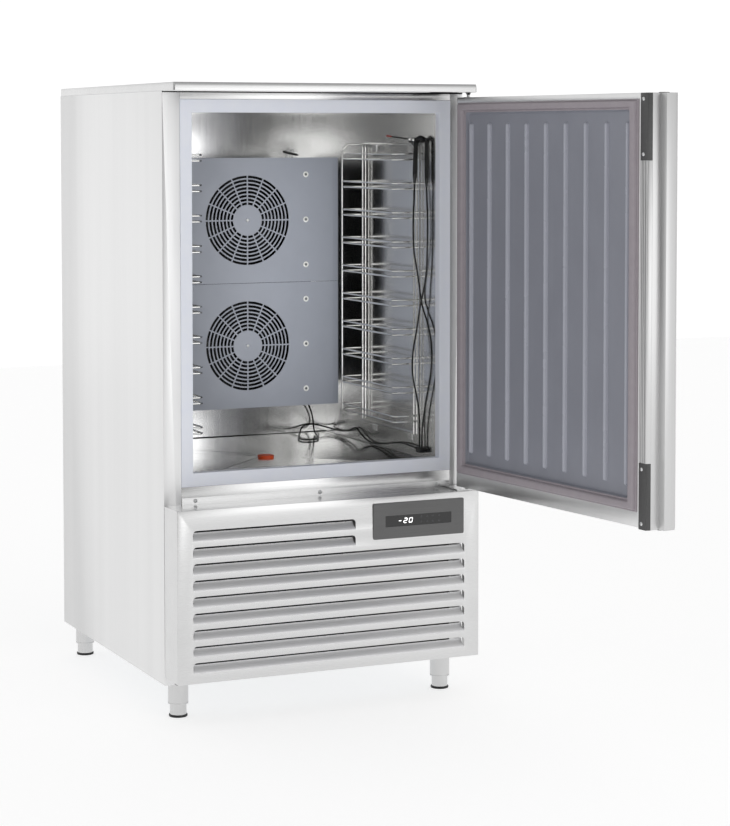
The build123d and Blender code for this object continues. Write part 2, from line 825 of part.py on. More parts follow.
def panel_screws():
    """Dome screws of the fan panels and the one in the middle of each grille."""
    solids = []
    for fan_z in fan_heights:
        solids.append(dome_screw(middle_x, panel_front_y, fan_z, grille_screw_radius, grille_screw_height))
        for side in (-1, 1):
            for step in (-1, 0, 1):
                solids.append(dome_screw(middle_x + side * rail_offset, panel_front_y,
                                         fan_z + step * screw_row_pitch,
                                         panel_screw_radius, panel_screw_height))
    return solids


def sensor_clip():
    """Air sensor on a folded clip at the top edge of the upper fan panel."""
    x = middle_x + clip_offset
    span = (x - clip_width / 2, x + clip_width / 2)
    high = panel_top + clip_height
    plate = block(span, (panel_front_y, panel_back_y), (panel_top, high))
    shelf = block(span, (panel_front_y, panel_front_y + clip_shelf), (high, high + clip_sheet))
    sensor = Rot(0, 90, 0) * Cylinder(sensor_radius, sensor_length)
    return plate + shelf + Pos(x, panel_front_y + clip_shelf / 2, high - sensor_radius) * sensor


def rack():
    """Welded wire rack on the right wall: pairs of runner wires on two wall frames."""
    radius = rack_wire / 2
    rear = rack_front_y + rack_length
    tuck = rack_wire + rack_weld_gap
    runner = middle_x + rack_runner_offset
    tail = middle_x + rack_outer_offset + radius
    wires = []
    for level in range(rack_levels):
        for drop in (0.0, rack_pair_gap):
            z = rack_first_level + level * rack_level_pitch - drop
            points = [(tail, rack_front_y, z), (runner, rack_front_y, z), (runner, rear, z), (tail, rear, z)]
            wires.append(bent_wire(points, radius, rack_bend))
    for offset in (rack_inner_offset, rack_outer_offset):
        x = middle_x + offset
        front = rack_front_y + tuck
        back = rear - tuck
        points = [(x, front, rack_frame_bottom), (x, front, rack_frame_top),
                  (x, back, rack_frame_top), (x, back, rack_frame_bottom)]
        wires.append(bent_wire(points, radius, rack_bend))
        between = radius + rack_weld_gap
        wires.append(rod((x, front + between, rack_frame_bottom + radius),
                         (x, back - between, rack_frame_bottom + radius), radius))
    stop_x = middle_x + stop_loop_offset
    past_corner = runner + rack_bend - stop_x
    stop_y = rear - rack_bend + math.sqrt((rack_bend + tuck) ** 2 - past_corner ** 2)
    stop_end = middle_x + rack_inner_offset
    points = [(stop_end, stop_y, stop_loop_top), (stop_x, stop_y, stop_loop_top),
              (stop_x, stop_y, stop_loop_bottom), (stop_end, stop_y, stop_loop_bottom)]
    wires.append(bent_wire(points, radius, stop_loop_bend))
    return wires


def rack_hooks():
    """Folded hooks on both cell walls, under the outer frame wire of each rack."""
    radius = rack_wire / 2
    wall = cell_right
    lip_out = middle_x + (rack_inner_offset + rack_outer_offset) / 2
    solids = []
    for z in (rack_frame_top, rack_frame_bottom):
        top = z - radius - seat_gap
        for y in (rack_front_y + hook_inset_y, rack_front_y + rack_length - hook_inset_y):
            span = (y - hook_width / 2, y + hook_width / 2)
            hook = block((lip_out - hook_sheet / 2, wall), span, (top - hook_sheet, top))
            hook += block((lip_out - hook_sheet / 2, lip_out + hook_sheet / 2), span, (top, top + hook_lip))
            hook += block((wall - hook_sheet, wall), span, (top - hook_plate_height, top))
            solids += [hook, mirror_cell(hook)]
    return solids


def drain_plug():
    cap = rod((drain_x, drain_y, well_floor), (drain_x, drain_y, well_floor + plug_height), plug_radius)
    cap = fillet(cap.edges().group_by(Axis.Z)[-1], plug_edge)
    stem = rod((drain_x, drain_y, well_floor - plug_stem), (drain_x, drain_y, well_floor),
               drain_bore_radius - plug_clearance)
    return cap + stem


def drain_spigot():
    top = well_floor - liner_sheet
    pipe = rod((drain_x, drain_y, body_bottom - drain_tail), (drain_x, drain_y, top), drain_pipe_radius)
    flange = rod((drain_x, drain_y, top - drain_flange_thickness), (drain_x, drain_y, top),
                 drain_flange_radius)
    low = body_bottom - drain_tail
    tail = rod((drain_x, drain_y, low), (drain_x, drain_y, low + drain_tail_length), drain_tail_radius)
    bore = rod((drain_x, drain_y, low - 1), (drain_x, drain_y, top + 1), drain_bore_radius)
    return pipe + flange + tail - bore


# ---- core probe, hung over the front of the right-hand rack ----
probe_seat_y = rack_front_y - probe_before_rack
handle_low = rack_frame_top + rack_wire / 2 + seat_gap
handle_high = handle_low + handle_height
handle_x = (middle_x + rack_inner_offset - 10.0, middle_x + rack_inner_offset + 4.0)
left_sleeve_end = (316.0, probe_seat_y - 2, 1283.0)
arch_end = (327.0, -344.0, 1277.0)
splice_top = 611.0
lead_end_z = splice_top + cord_seat
splice_y = (-324.0, -324.0 + splice_length)
lead_one = [left_sleeve_end, (315.0, -299.0, 1252.0), (311.5, -300.0, 1205.0), (311.0, -300.5, 1158.0),
            (313.0, -300.0, 1110.0), (320.5, -300.0, 1072.0), (328.0, -301.0, 1026.0),
            (330.8, -304.0, 988.0), (330.3, -322.0, 960.0), (329.5, -346.0, 932.0), (329.0, -366.0, 897.0),
            (329.0, -373.0, 857.0), (329.0, -369.0, 812.0), (329.0, -352.0, 765.0), (329.0, -333.0, 716.0),
            (328.5, -319.0, 668.0), (328.0, -316.5, 636.0), (328.0, -317.0, lead_end_z)]
lead_two = [arch_end, (328.0, -344.5, 1246.0), (329.0, -347.0, 1200.0), (328.5, -347.5, 1150.0),
            (329.0, -344.5, 1104.0), (329.0, -341.0, 1060.0), (327.5, -331.0, 1020.0),
            (323.5, -320.0, 984.0), (324.0, -307.0, 948.0), (320.0, -301.0, 905.0), (312.0, -299.5, 862.0),
            (308.0, -300.0, 822.0), (310.5, -300.5, 784.0), (320.0, -300.0, 748.0), (328.0, -299.5, 706.0),
            (330.3, -300.5, 664.0), (328.6, -302.5, 634.0), (328.0, -303.0, lead_end_z)]
probe_route = [(326.0, splice_y[1] + cord_seat, 604.0), (326.3, -274.0, 606.5), (327.0, -234.0, 608.0),
               (328.0, -190.0, 607.5), (329.0, -150.0, 602.5), (329.6, -111.0, 596.0), (330.0, -74.0, 590.0),
               (330.3, -38.0, 586.0), (330.5, -3.0, 585.0), (330.3, 31.0, 590.0), (330.0, 62.0, 602.0),
               (330.0, 88.0, 613.5), (330.2, 108.0, 612.0), (330.5, 130.0, 602.5), (331.0, 160.0, 596.5),
               (331.0, 198.0, 593.0), (330.5, 236.0, 592.0), (329.0, 268.0, 592.5), (321.0, 293.0, 595.0),
               (303.0, 304.0, 599.5), (282.0, 304.3, 602.0), (264.0, 300.0, 599.0), (250.0, 287.0, 592.0),
               (238.0, 265.0, 585.5), (223.0, 235.0, 582.5), (208.0, 207.0, 581.5), (197.0, 181.0, 581.0),
               (196.0, 156.0, 581.0), (213.0, 138.0, 581.0), (236.0, 142.0, 581.0), (249.0, 163.0, 581.5),
               (259.0, 191.0, 582.0), (268.0, 220.0, 582.5), (276.0, 248.0, 583.5), (284.5, 273.0, 587.0),
               (290.0, 291.0, 596.0),
               (291.5, 296.5, 611.0), (288.5, 297.0, 628.0), (281.0, 293.0, 646.0), (272.0, 286.5, 661.0),
               (262.5, 279.5, 674.5), (253.0, 274.5, 687.0), (247.0, 276.5, 702.0), (244.3, 286.5, 712.5),
               (244.0, 300.7, 713.0)]
wall_gland_y = (probe_route[-1][1] + 2 * cord_seat - 0.1, cell_back)


def cord_path(points):
    """Straight runs joined by tangent arcs, each arc as large as its two runs allow."""
    radii = []
    for before, here, after in zip(points, points[1:], points[2:]):
        arriving = Vector(*here) - Vector(*before)
        leaving = Vector(*after) - Vector(*here)
        turn = math.radians(arriving.get_angle(leaving))
        radii.append(0.45 * min(arriving.length, leaving.length) / math.tan(turn / 2))
    return FilletPolyline(*points, radius=radii), radii


def cord_solid(name, points):
    path, radii = cord_path(points)
    solid = tube_along(path, lead_diameter / 2)
    expected = math.pi * (lead_diameter / 2) ** 2 * path.length
    print(name, "length", round(path.length), "smallest radius", round(min(radii), 1),
          "volume ratio", round(solid.volume / expected, 3))
    return solid


def probe_needle():
    """Pointed needle with its metal ferrule, lying level above the top tray level."""
    root = (handle_x[0], probe_seat_y, (handle_low + handle_high) / 2)
    tip = (handle_x[0] - needle_length, probe_seat_y, root[2] + needle_rise)
    run = Vector(*root) - Vector(*tip)
    along = run.normalized()
    ferrule_start = Vector(*tip) + along * (run.length * ferrule_start_share)
    point_end = Vector(*tip) + along * needle_point
    needle = rod(tuple(point_end), tuple(ferrule_start + along * 3), needle_radius)
    point = cone_between(tip, tuple(point_end), 0.4, needle_radius)
    ferrule = rod(tuple(ferrule_start), root, ferrule_radius)
    reach = 4 * ferrule_radius
    keep = block((tip[0] - reach, handle_x[0]), (probe_seat_y - reach, probe_seat_y + reach),
                 (root[2] - reach, tip[2] + reach))
    return (needle + point + ferrule) & keep


def probe_handle():
    """Rubber grip resting on the rack's top wire, with two cable boots hanging from it."""
    body = block(handle_x, (probe_seat_y - 9, rack_front_y + 18), (handle_low, handle_high))
    body = fillet(body.edges().filter_by(Axis.Y), 4.0)
    top = (handle_x[0] + sleeve_fat + 0.5, probe_seat_y - 2, handle_low + 7)
    tip = (left_sleeve_end[0], left_sleeve_end[1], left_sleeve_end[2] + cord_seat)
    run = Vector(*tip) - Vector(*top)
    waist = tuple(Vector(*top) + run * boot_straight_share)
    boot_tip = lead_diameter / 2 + boot_wall
    left = rod(top, waist, sleeve_fat) + cone_between(waist, tip, sleeve_fat, boot_tip)
    arch_tip = (arch_end[0], arch_end[1], arch_end[2] + cord_seat)
    arch_waist = (arch_end[0], arch_end[1], arch_end[2] + 20)
    arch_points = [(319.0, probe_seat_y - 3, handle_low + 7), (322.0, probe_seat_y - 24, handle_high + 2),
                   (327.0, arch_end[1], handle_high - 6), arch_waist]
    arch = bent_wire(arch_points, arch_radius, 14.0)
    arch += cone_between(arch_waist, arch_tip, arch_radius, boot_tip)
    return body + left + arch


def probe_splice():
    body = block((splice_end_x - splice_width, splice_end_x), splice_y,
                 (splice_top - splice_height, splice_top))
    return fillet(body.edges().filter_by(Axis.X), splice_edge)


# ---- door, drawn closed and then swung open about its hinge ----
def door_point(u, v):
    """u runs from the inner hinge corner to the free edge, v outwards through the door."""
    return (door_corner_x - u, door_plane - v)


def door_prism(points, low, high):
    return slab([door_point(u, v) for u, v in points], low, high)


def door_box(u, v, z):
    return door_prism([(u[0], v[0]), (u[1], v[0]), (u[1], v[1]), (u[0], v[1])], z[0], z[1])


def swing_open(shape):
    hinge = Axis((hinge_axis_x, hinge_axis_y, 0), (0, 0, 1))
    return shape.rotate(hinge, door_open_angle)


gasket_u = (gasket_side_inset, door_inner_width - gasket_free_inset)
gasket_z = (door_bottom + gasket_bottom_inset, door_top - gasket_top_inset)
recess_u = (gasket_u[0] + gasket_side, gasket_u[1] - gasket_side)
recess_z = (gasket_z[0] + gasket_bottom_width, gasket_z[1] - gasket_top_width)
door_free_end = door_inner_width + door_free_lap
grip_end = door_inner_width + edge_grip_width
bush_u = door_corner_x - hinge_axis_x
bush_v = door_plane - hinge_axis_y
spare_bush_u = door_inner_width + (door_free_end - door_inner_width) / 2


def skin_outline(inset):
    s = inset
    lap = door_skin_hinge_lap
    step = door_skin_step
    deep = door_thickness
    free = door_free_end if inset == 0 else door_inner_width - s
    outline = [(s, s), (door_inner_width - s, s), (door_inner_width - s, deep - door_sheet)]
    if inset == 0:
        outline += [(free, deep - door_sheet), (free, deep)]
        outline += [(-lap, deep)]
    else:
        outline += [(-lap + s, deep - s)]
    outline += [(-lap + s, step + s), (s, step + s)]
    return outline


def bush_hole(radius, low, high):
    x, y = door_point(bush_u, bush_v)
    return rod((x, y, low), (x, y, high), radius)


def door_skin():
    shell = door_prism(skin_outline(0.0), door_bottom, door_top)
    shell -= door_prism(skin_outline(door_sheet), door_bottom + door_sheet, door_top - door_sheet)
    shell -= door_box(gasket_u, (-1, door_sheet + 0.5), gasket_z)
    shell -= bush_hole(bush_radius, door_bottom - 1, door_bottom + 5)
    shell -= bush_hole(bush_radius, door_top - 5, door_top + 1)
    return shell


def pan_body():
    """The ribbed inner pan without its ribs, as a closed outer form."""
    flange = door_box(gasket_u, (0, panel_skin), gasket_z)
    deep = panel_recess + panel_skin
    u = (recess_u[0] - panel_skin, recess_u[1] + panel_skin)
    z = (recess_z[0] - panel_skin, recess_z[1] + panel_skin)
    return flange + door_box(u, (0, deep), z)


def door_rib(u):
    """A half-round rib with rounded ends on the recess floor."""
    low = recess_z[0] + rib_end_gap
    high = recess_z[1] - rib_end_gap
    x, y = door_point(u, panel_recess)
    outline = SlotOverall(high - low, rib_width)
    place = Plane(origin=(x, y, (low + high) / 2), x_dir=(0, 0, 1), z_dir=(0, 1, 0))
    rib = extrude(place * outline, amount=rib_height)
    top = rib.faces().sort_by(Axis.Y)[-1].edges()
    return fillet(top, rib_height * 0.8)


def door_inner_panel():
    pan = pan_body() - door_box(recess_u, (-1, panel_recess), recess_z)
    first = recess_u[0] + rib_end_step
    rib_pitch = (recess_u[1] - recess_u[0] - 2 * rib_end_step) / (rib_count - 1)
    ribs = [door_rib(first + k * rib_pitch) for k in range(rib_count)]
    return pan + ribs


def door_foam():
    foam = door_prism(skin_outline(door_sheet), door_bottom + door_sheet, door_top - door_sheet)
    foam -= pan_body()
    foam -= bush_hole(bush_radius, door_bottom, door_bottom + bush_length)
    foam -= bush_hole(bush_radius, door_top - bush_length, door_top)
    return foam


def ring_box(u, z, u_width, low_width, high_width, v):
    outer = door_box(u, v, z)
    inner = door_box((u[0] + u_width, u[1] - u_width), (v[0] - 1, v[1] + 1),
                     (z[0] + low_width, z[1] - high_width))
    return outer - inner


def door_gasket():
    """Magnetic gasket: flat base and a narrower hollow bulb that meets the opening frame."""
    height = door_gap - frame_proud - gasket_clearance
    base = ring_box(gasket_u, gasket_z, gasket_side, gasket_bottom_width, gasket_top_width,
                    (-gasket_base, 0))
    step = gasket_base_step
    u = (gasket_u[0] + step, gasket_u[1] - step)
    z = (gasket_z[0] + step, gasket_z[1] - step)
    bulb = ring_box(u, z, gasket_side - 2 * step, gasket_bottom_width - 2 * step,
                    gasket_top_width - 2 * step, (-height, -gasket_base))
    rim = bulb.faces().sort_by(Axis.Y)[-1].edges()
    return base + fillet(rim, 2.5)


def strip_outline():
    """Section of the strip on the inner face, between the gasket and the end face."""
    w = door_inner_width
    return [(w, 0.0), (w + edge_cap_width, 0.0), (grip_end, edge_cap_depth), (w, edge_cap_depth)]


def grip_outline(inset):
    """Stepped section behind the strip: end face and grip."""
    i = inset
    w = door_inner_width
    deep = door_thickness - door_sheet
    return [(w + i, edge_cap_depth + i), (grip_end - i, edge_cap_depth + i),
            (grip_end - i, door_skin_step + i), (door_free_end - i, door_skin_step + i),
            (door_free_end - i, deep - i), (w + i, deep - i)]


def door_edge_profile():
    """Grip extrusion over the door's full height and the grooved strip between the end caps."""
    low_span, high_span = end_cap_spans()
    low = low_span[0]
    high = high_span[1]
    grip = door_prism(grip_outline(0.0), low, high) - door_prism(grip_outline(edge_wall), low - 1, high + 1)
    strip = door_prism(strip_outline(), low_span[1], high_span[0])
    for start in edge_groove_starts:
        u = door_inner_width + start
        strip -= door_box((u, u + edge_groove_width), (-1, edge_groove_depth), (low, high))
    return [grip, strip]


def end_cap_spans():
    low = door_bottom - end_cap_drop
    return [(low, low + end_cap_length), (door_top - end_cap_length, door_top)]


def spare_bush_hole(low, high):
    x, y = door_point(spare_bush_u, bush_v)
    return rod((x, y, low), (x, y, high), bush_radius)


def door_end_caps():
    """Caps at both ends of the strip, and plugs in the grip's ends that hold the spare bushes."""
    caps = [door_prism(strip_outline(), *span) for span in end_cap_spans()]
    low = end_cap_spans()[0][0]
    plug_outline = grip_outline(edge_wall)
    low_plug = door_prism(plug_outline, low, low + grip_plug_length)
    low_plug -= spare_bush_hole(low - 1, low + bush_length)
    high_plug = door_prism(plug_outline, door_top - grip_plug_length, door_top)
    high_plug -= spare_bush_hole(door_top - bush_length, door_top + 1)
    return caps + [low_plug, high_plug]


def door_cap_screws():
    """Two screws on the inner face of each end cap."""
    solids = []
    u = door_inner_width + edge_cap_width * 0.4
    x, y = door_point(u, 0)
    for low, high in end_cap_spans():
        for z in (low + cap_screw_inset, high - cap_screw_inset):
            head = rod((x, y, z), (x, y + 2.0, z), cap_screw_radius)
            solids.append(fillet(head.edges().group_by(Axis.Y)[-1], 1.4))
    return solids


def bush(x, y, end, direction):
    """Flanged bush at one end of the door, bored for the hinge pin."""
    inner_end = end - direction * bush_length
    flange_end = end + direction * bush_flange
    body = rod((x, y, inner_end), (x, y, end), bush_radius)
    flange = rod((x, y, end), (x, y, flange_end), bush_flange_radius)
    bore = rod((x, y, inner_end + direction * 2), (x, y, flange_end + direction),
               hinge_pin_radius + running_clearance)
    return body + flange - bore


def hinge_bushes():
    """Two working bushes and two spare ones for a door hung the other way round."""
    pin_x, pin_y = door_point(bush_u, bush_v)
    spare_x, spare_y = door_point(spare_bush_u, bush_v)
    return [bush(pin_x, pin_y, door_bottom, -1), bush(pin_x, pin_y, door_top, 1),
            bush(spare_x, spare_y, door_bottom - end_cap_drop, -1), bush(spare_x, spare_y, door_top, 1)]


def hinge_brackets():
    """Plates with fixed pins: one on the cover's ledge, one let into the worktop."""
    x = hinge_axis_x
    y = hinge_axis_y
    ledge = cover_top
    lower = hinge_plate_zone(ledge, ledge + hinge_plate)
    base = ledge + hinge_plate
    pin_reach = hinge_pin_length
    lower += rod((x, y, base), (x, y, base + pin_reach), hinge_pin_radius)
    lower += cone_between((x, y, base), (x, y, base + hinge_flare_height), hinge_flare_radius,
                          hinge_pin_radius)
    roof = worktop_underside
    upper = hinge_plate_zone(roof, roof + hinge_plate)
    upper += rod((x, y, roof - pin_reach), (x, y, roof), hinge_pin_radius)
    upper += cone_between((x, y, roof), (x, y, roof - hinge_flare_height), hinge_flare_radius,
                          hinge_pin_radius)
    return [lower, upper]


# ---- refrigeration plant in the base ----
def compressor():
    low = tray_top + mount_height
    x = compressor_x
    y = compressor_y
    shell = rod((x, y, low + 10), (x, y, low + compressor_height), compressor_radius)
    shell = fillet(shell.edges().filter_by(GeomType.CIRCLE), 38.0)
    seam = rod((x, y, low + 110), (x, y, low + 118), compressor_radius + 3)
    plate = Pos(x, y, low + 1.5) * Box(mount_spacing_x + 40, mount_spacing_y + 40, 3)
    pedestal = rod((x, y, low + 3), (x, y, low + 24), compressor_radius * 0.55)
    front = y - compressor_radius
    box = block((x - 35, x + 35), (front - 28, front + 20), (low + 60, low + 130))
    return shell + seam + plate + pedestal + box


def compressor_mounts():
    solids = []
    for i in (-1, 1):
        for j in (-1, 1):
            x = compressor_x + i * mount_spacing_x / 2
            y = compressor_y + j * mount_spacing_y / 2
            solids.append(rod((x, y, tray_top), (x, y, tray_top + mount_height), mount_radius))
    return solids


condenser_x = (condenser_left, condenser_left + condenser_width)
condenser_y = (front_y + condenser_inset, front_y + condenser_inset + condenser_depth)
condenser_z = (tray_top, tray_top + condenser_height)
condenser_mid_x = condenser_left + condenser_width / 2
condenser_mid_z = (condenser_z[0] + condenser_z[1]) / 2
shroud_back = condenser_y[1] + shroud_depth


def condenser_coil():
    coil = block(condenser_x, condenser_y, condenser_z)
    grooves = []
    groove_count = 24
    for i in range(1, groove_count):
        x = condenser_x[0] + i * condenser_width / groove_count
        grooves.append(block((x - 3, x + 3), (condenser_y[0] - 1, condenser_y[0] + 5),
                             (condenser_z[0] + 8, condenser_z[1] - 8)))
    return coil - grooves


def condenser_shroud():
    """Folded box behind the coil with a round mouth for the fan."""
    box = block(condenser_x, (condenser_y[1], shroud_back), condenser_z)
    s = shroud_sheet
    hollow = block((condenser_x[0] + s, condenser_x[1] - s), (condenser_y[1] - 1, shroud_back - s),
                   (condenser_z[0] + s, condenser_z[1] - s))
    mouth = rod((condenser_mid_x, shroud_back - 10, condenser_mid_z),
                (condenser_mid_x, shroud_back + 10, condenser_mid_z),
                condenser_fan_radius + condenser_fan_clearance)
    return box - hollow - mouth


def condenser_fan():
    return fan_wheel(condenser_mid_x, shroud_back - condenser_fan_in_shroud, condenser_mid_z,
                     condenser_fan_radius, condenser_hub_radius, condenser_fan_depth,
                     condenser_fan_count, shroud_back + condenser_motor_gap + condenser_shaft_in_motor)


def condenser_motor():
    """Motor on a post that stands on the base tray."""
    start = shroud_back + condenser_motor_gap
    end = start + condenser_motor_length
    x = condenser_mid_x
    z = condenser_mid_z
    body = rod((x, start, z), (x, end, z), motor_radius)
    body = fillet(body.edges().filter_by(GeomType.CIRCLE), motor_edge)
    half = motor_post_width / 2
    post = block((x - half, x + half), (end - motor_post_sheet, end), (tray_top, z))
    base = block((x - motor_post_width, x + motor_post_width), (end - motor_post_width, end),
                 (tray_top, tray_top + motor_post_sheet / 2))
    bore = rod((x, start - 1, z), (x, start + condenser_motor_bore, z), fan_shaft_radius + running_clearance)
    return body + post + base - bore


def electrical_box():
    left = -half_width + box_from_side
    back = back_y - box_from_back
    body = block((left, left + box_width), (back - box_depth, back), (tray_top, tray_top + box_height))
    return fillet(body.edges().filter_by(Axis.Z), box_corner)


def filter_drier():
    x = drier_x
    y = drier_y
    body = rod((x, y, drier_low), (x, y, drier_low + drier_length), drier_radius)
    body = fillet(body.edges().filter_by(GeomType.CIRCLE), 8.0)
    bracket = block((x - 12, x + 12), (y + drier_radius - 2, y + drier_radius + 1), (tray_top, drier_low + 60))
    return body + bracket


def refrigerant_pipes():
    """Discharge line, liquid line and suction line of the circuit."""
    low = tray_top + mount_height
    top = low + compressor_height
    mid_y = (condenser_y[0] + condenser_y[1]) / 2
    side = condenser_x[1]
    r = pipe_radius
    discharge = bent_wire([(compressor_x, compressor_y - 20, top), (compressor_x, compressor_y - 20, top + 40),
                           (side + 60, compressor_y - 20, top + 40), (side + 60, mid_y, top + 40),
                           (side, mid_y, top + 40)], r, 20.0)
    turn_x = side + pipe_turn_out
    to_drier = bent_wire([(side, mid_y, pipe_low), (turn_x, mid_y, pipe_low), (turn_x, drier_y, pipe_low),
                          (drier_x, drier_y, pipe_low), (drier_x, drier_y, drier_low)], r, 18.0)
    coil_right = middle_x + coil_half_width - 24.0 + 1.5
    inner_y = rail_back_y + coil_depth * 0.5
    liquid = bent_wire([(drier_x, drier_y, drier_low + drier_length),
                        (drier_x, drier_y, 470), (liquid_x, drier_y, 470), (liquid_x, riser_y, 470),
                        (liquid_x, riser_y, pipe_ports[0][1]), (liquid_x, inner_y, pipe_ports[0][1]),
                        (coil_right, inner_y, pipe_ports[0][1])], r, 16.0)
    suction = bent_wire([(compressor_x + 40, compressor_y, top), (compressor_x + 40, compressor_y, top + 60),
                         (suction_x, riser_y, top + 60), (suction_x, riser_y, pipe_ports[1][1]),
                         (suction_x, inner_y, pipe_ports[1][1]), (coil_right, inner_y, pipe_ports[1][1])],
                        r, 16.0)
    return [discharge, to_drier, liquid, suction]


def cable_glands():
    """Mains gland in the back panel and the probe cable's gland on the cell's back wall."""
    outside = rod((gland_x, back_y, gland_z), (gland_x, back_y + gland_length, gland_z), gland_radius)
    inside = rod((gland_x, inner_back - 8, gland_z), (gland_x, inner_back, gland_z), gland_radius)
    neck = rod((gland_x, inner_back - 1, gland_z), (gland_x, back_y + 1, gland_z), gland_bore + 2)
    bore = rod((gland_x, inner_back - 9, gland_z), (gland_x, back_y + gland_length + 1, gland_z), gland_bore)
    mains = outside + inside + neck - bore
    end = probe_route[-1]
    probe = rod((end[0], wall_gland_y[0], end[2]), (end[0], wall_gland_y[1], end[2]), probe_gland_radius)
    return [mains, probe]


parts["side_panel_left"] = side_panel(-1, flange_left)
parts["side_panel_right"] = side_panel(1, flange_right)
parts["back_panel"] = back_panel()
parts["worktop"] = worktop_shell()
parts["worktop_core"] = worktop_core()
parts["worktop_spacers"] = worktop_spacers()
parts["front_strips"] = front_strips()
parts["opening_frame"] = opening_frame()
parts["inner_liner"] = inner_liner()
parts["insulation"] = insulation()
parts["base_tray"] = base_tray()
parts["leg_sleeves"] = [leg_sleeve(x, y) for x, y in leg_places()]
foot_names = ("foot_front_left", "foot_front_right", "foot_rear_left", "foot_rear_right")
for name, (x, y) in zip(foot_names, leg_places()):
    parts[name] = foot(x, y)
parts["lower_cover"] = lower_cover()
parts["cover_screws"] = [dome_screw(x, front_y - shell_sheet, cover_top + cover_upstand - cover_screw_drop,
                                    5.0, 3.0) for x in cover_screw_xs]
parts["control_bezel"] = control_bezel()
parts["display_window"] = display_window()
parts["control_module"] = control_module()
parts["fan_panel_upper"] = fan_panel(panel_middle + panel_seam / 2, panel_top, fan_heights[0])
parts["fan_panel_lower"] = fan_panel(panel_bottom, panel_middle - panel_seam / 2, fan_heights[1])
parts["fan_blade_upper"] = evaporator_fan(fan_heights[0])
parts["fan_blade_lower"] = evaporator_fan(fan_heights[1])
parts["fan_motors"] = [evaporator_motor(z) for z in fan_heights]
parts["evaporator_frame"] = evaporator_frame()
parts["evaporator_coil"] = evaporator_coil()
parts["panel_screws"] = panel_screws()
parts["sensor_clip"] = sensor_clip()
parts["rack_right"] = rack()
parts["rack_left"] = [mirror_cell(wire) for wire in parts["rack_right"]]
parts["rack_hooks"] = rack_hooks()
parts["drain_plug"] = drain_plug()
parts["drain_spigot"] = drain_spigot()
parts["probe_needle"] = probe_needle()
parts["probe_handle"] = probe_handle()
parts["probe_leads"] = [cord_solid("lead one", lead_one), cord_solid("lead two", lead_two)]
parts["probe_splice"] = probe_splice()
parts["probe_cable"] = cord_solid("probe cable", probe_route)
parts["door_skin"] = swing_open(door_skin())
parts["door_foam"] = swing_open(door_foam())
parts["door_inner_panel"] = swing_open(door_inner_panel())
parts["door_gasket"] = swing_open(door_gasket())
parts["door_edge_profile"] = [swing_open(bar) for bar in door_edge_profile()]
parts["door_end_caps"] = [swing_open(cap) for cap in door_end_caps()]
parts["door_cap_screws"] = [swing_open(screw) for screw in door_cap_screws()]
parts["hinge_bushes"] = [swing_open(piece) for piece in hinge_bushes()]
parts["hinge_brackets"] = hinge_brackets()
parts["compressor"] = compressor()
parts["compressor_mounts"] = compressor_mounts()
parts["condenser_coil"] = condenser_coil()
parts["condenser_shroud"] = condenser_shroud()
parts["condenser_fan"] = condenser_fan()
parts["condenser_motor"] = condenser_motor()
parts["electrical_box"] = electrical_box()
parts["filter_drier"] = filter_drier()
parts["refrigerant_pipes"] = refrigerant_pipes()
parts["cable_glands"] = cable_glands()

os.makedirs("parts", exist_ok=True)
for name, shape in parts.items():
    solid = Compound(children=shape) if isinstance(shape, list) else shape
    export_step(solid, f"parts/{name}.step")
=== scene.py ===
from math import asin, cos, pi, radians, sin
import bmesh
import bpy
from mathutils import Matrix, Vector


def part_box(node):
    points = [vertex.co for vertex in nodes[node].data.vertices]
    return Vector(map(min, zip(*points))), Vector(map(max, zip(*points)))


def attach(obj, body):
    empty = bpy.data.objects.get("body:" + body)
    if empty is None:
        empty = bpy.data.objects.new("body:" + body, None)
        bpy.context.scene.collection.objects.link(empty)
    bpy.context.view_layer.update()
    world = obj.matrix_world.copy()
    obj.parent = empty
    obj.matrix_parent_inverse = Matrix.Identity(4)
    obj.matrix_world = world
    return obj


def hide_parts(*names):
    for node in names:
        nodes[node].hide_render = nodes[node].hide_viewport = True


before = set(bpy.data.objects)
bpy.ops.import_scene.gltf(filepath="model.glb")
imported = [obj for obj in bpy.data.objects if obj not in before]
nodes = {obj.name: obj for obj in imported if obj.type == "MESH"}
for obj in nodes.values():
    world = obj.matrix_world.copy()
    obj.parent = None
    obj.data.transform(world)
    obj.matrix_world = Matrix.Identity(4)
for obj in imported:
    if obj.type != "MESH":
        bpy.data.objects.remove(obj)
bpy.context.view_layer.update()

feet = ["foot_front_left", "foot_front_right", "foot_rear_left", "foot_rear_right"]
mm = 0.001


def linked(name, data):
    thing = bpy.data.objects.new(name, data)
    bpy.context.collection.objects.link(thing)
    return thing


# ---- camera, floor and light ----
view = {
    "place": (-2.24136, -5.55037, 1.40378), "yaw": 23.949, "pitch": -3.0, "roll": 0.069,
    "sensor": 36, "lens": 100.04, "shiftX": 0.03775, "shiftY": -0.18938,
}
cameraData = bpy.data.cameras.new("camera")
cameraData.sensor_width = view["sensor"]
cameraData.lens = view["lens"]
cameraData.shift_x = view["shiftX"]
cameraData.shift_y = view["shiftY"]
camera = linked("camera", cameraData)
camera.location = view["place"]
camera.rotation_euler = (radians(90 + view["pitch"]), radians(view["roll"]), -radians(view["yaw"]))
bpy.context.scene.camera = camera
bpy.context.scene.view_settings.view_transform = "Standard"


def hexColour(code):
    channels = [int(code[i:i + 2], 16) / 255 for i in (1, 3, 5)]
    return [c / 12.92 if c <= 0.04045 else ((c + 0.055) / 1.055) ** 2.4 for c in channels] + [1.0]


def feed(tree, node, inputs):
    # a node given as a value stands for its first output
    for socket, value in inputs.items():
        if isinstance(value, bpy.types.Node):
            value = value.outputs[0]
        if isinstance(value, bpy.types.NodeSocket):
            tree.links.new(value, node.inputs[socket])
        else:
            node.inputs[socket].default_value = value


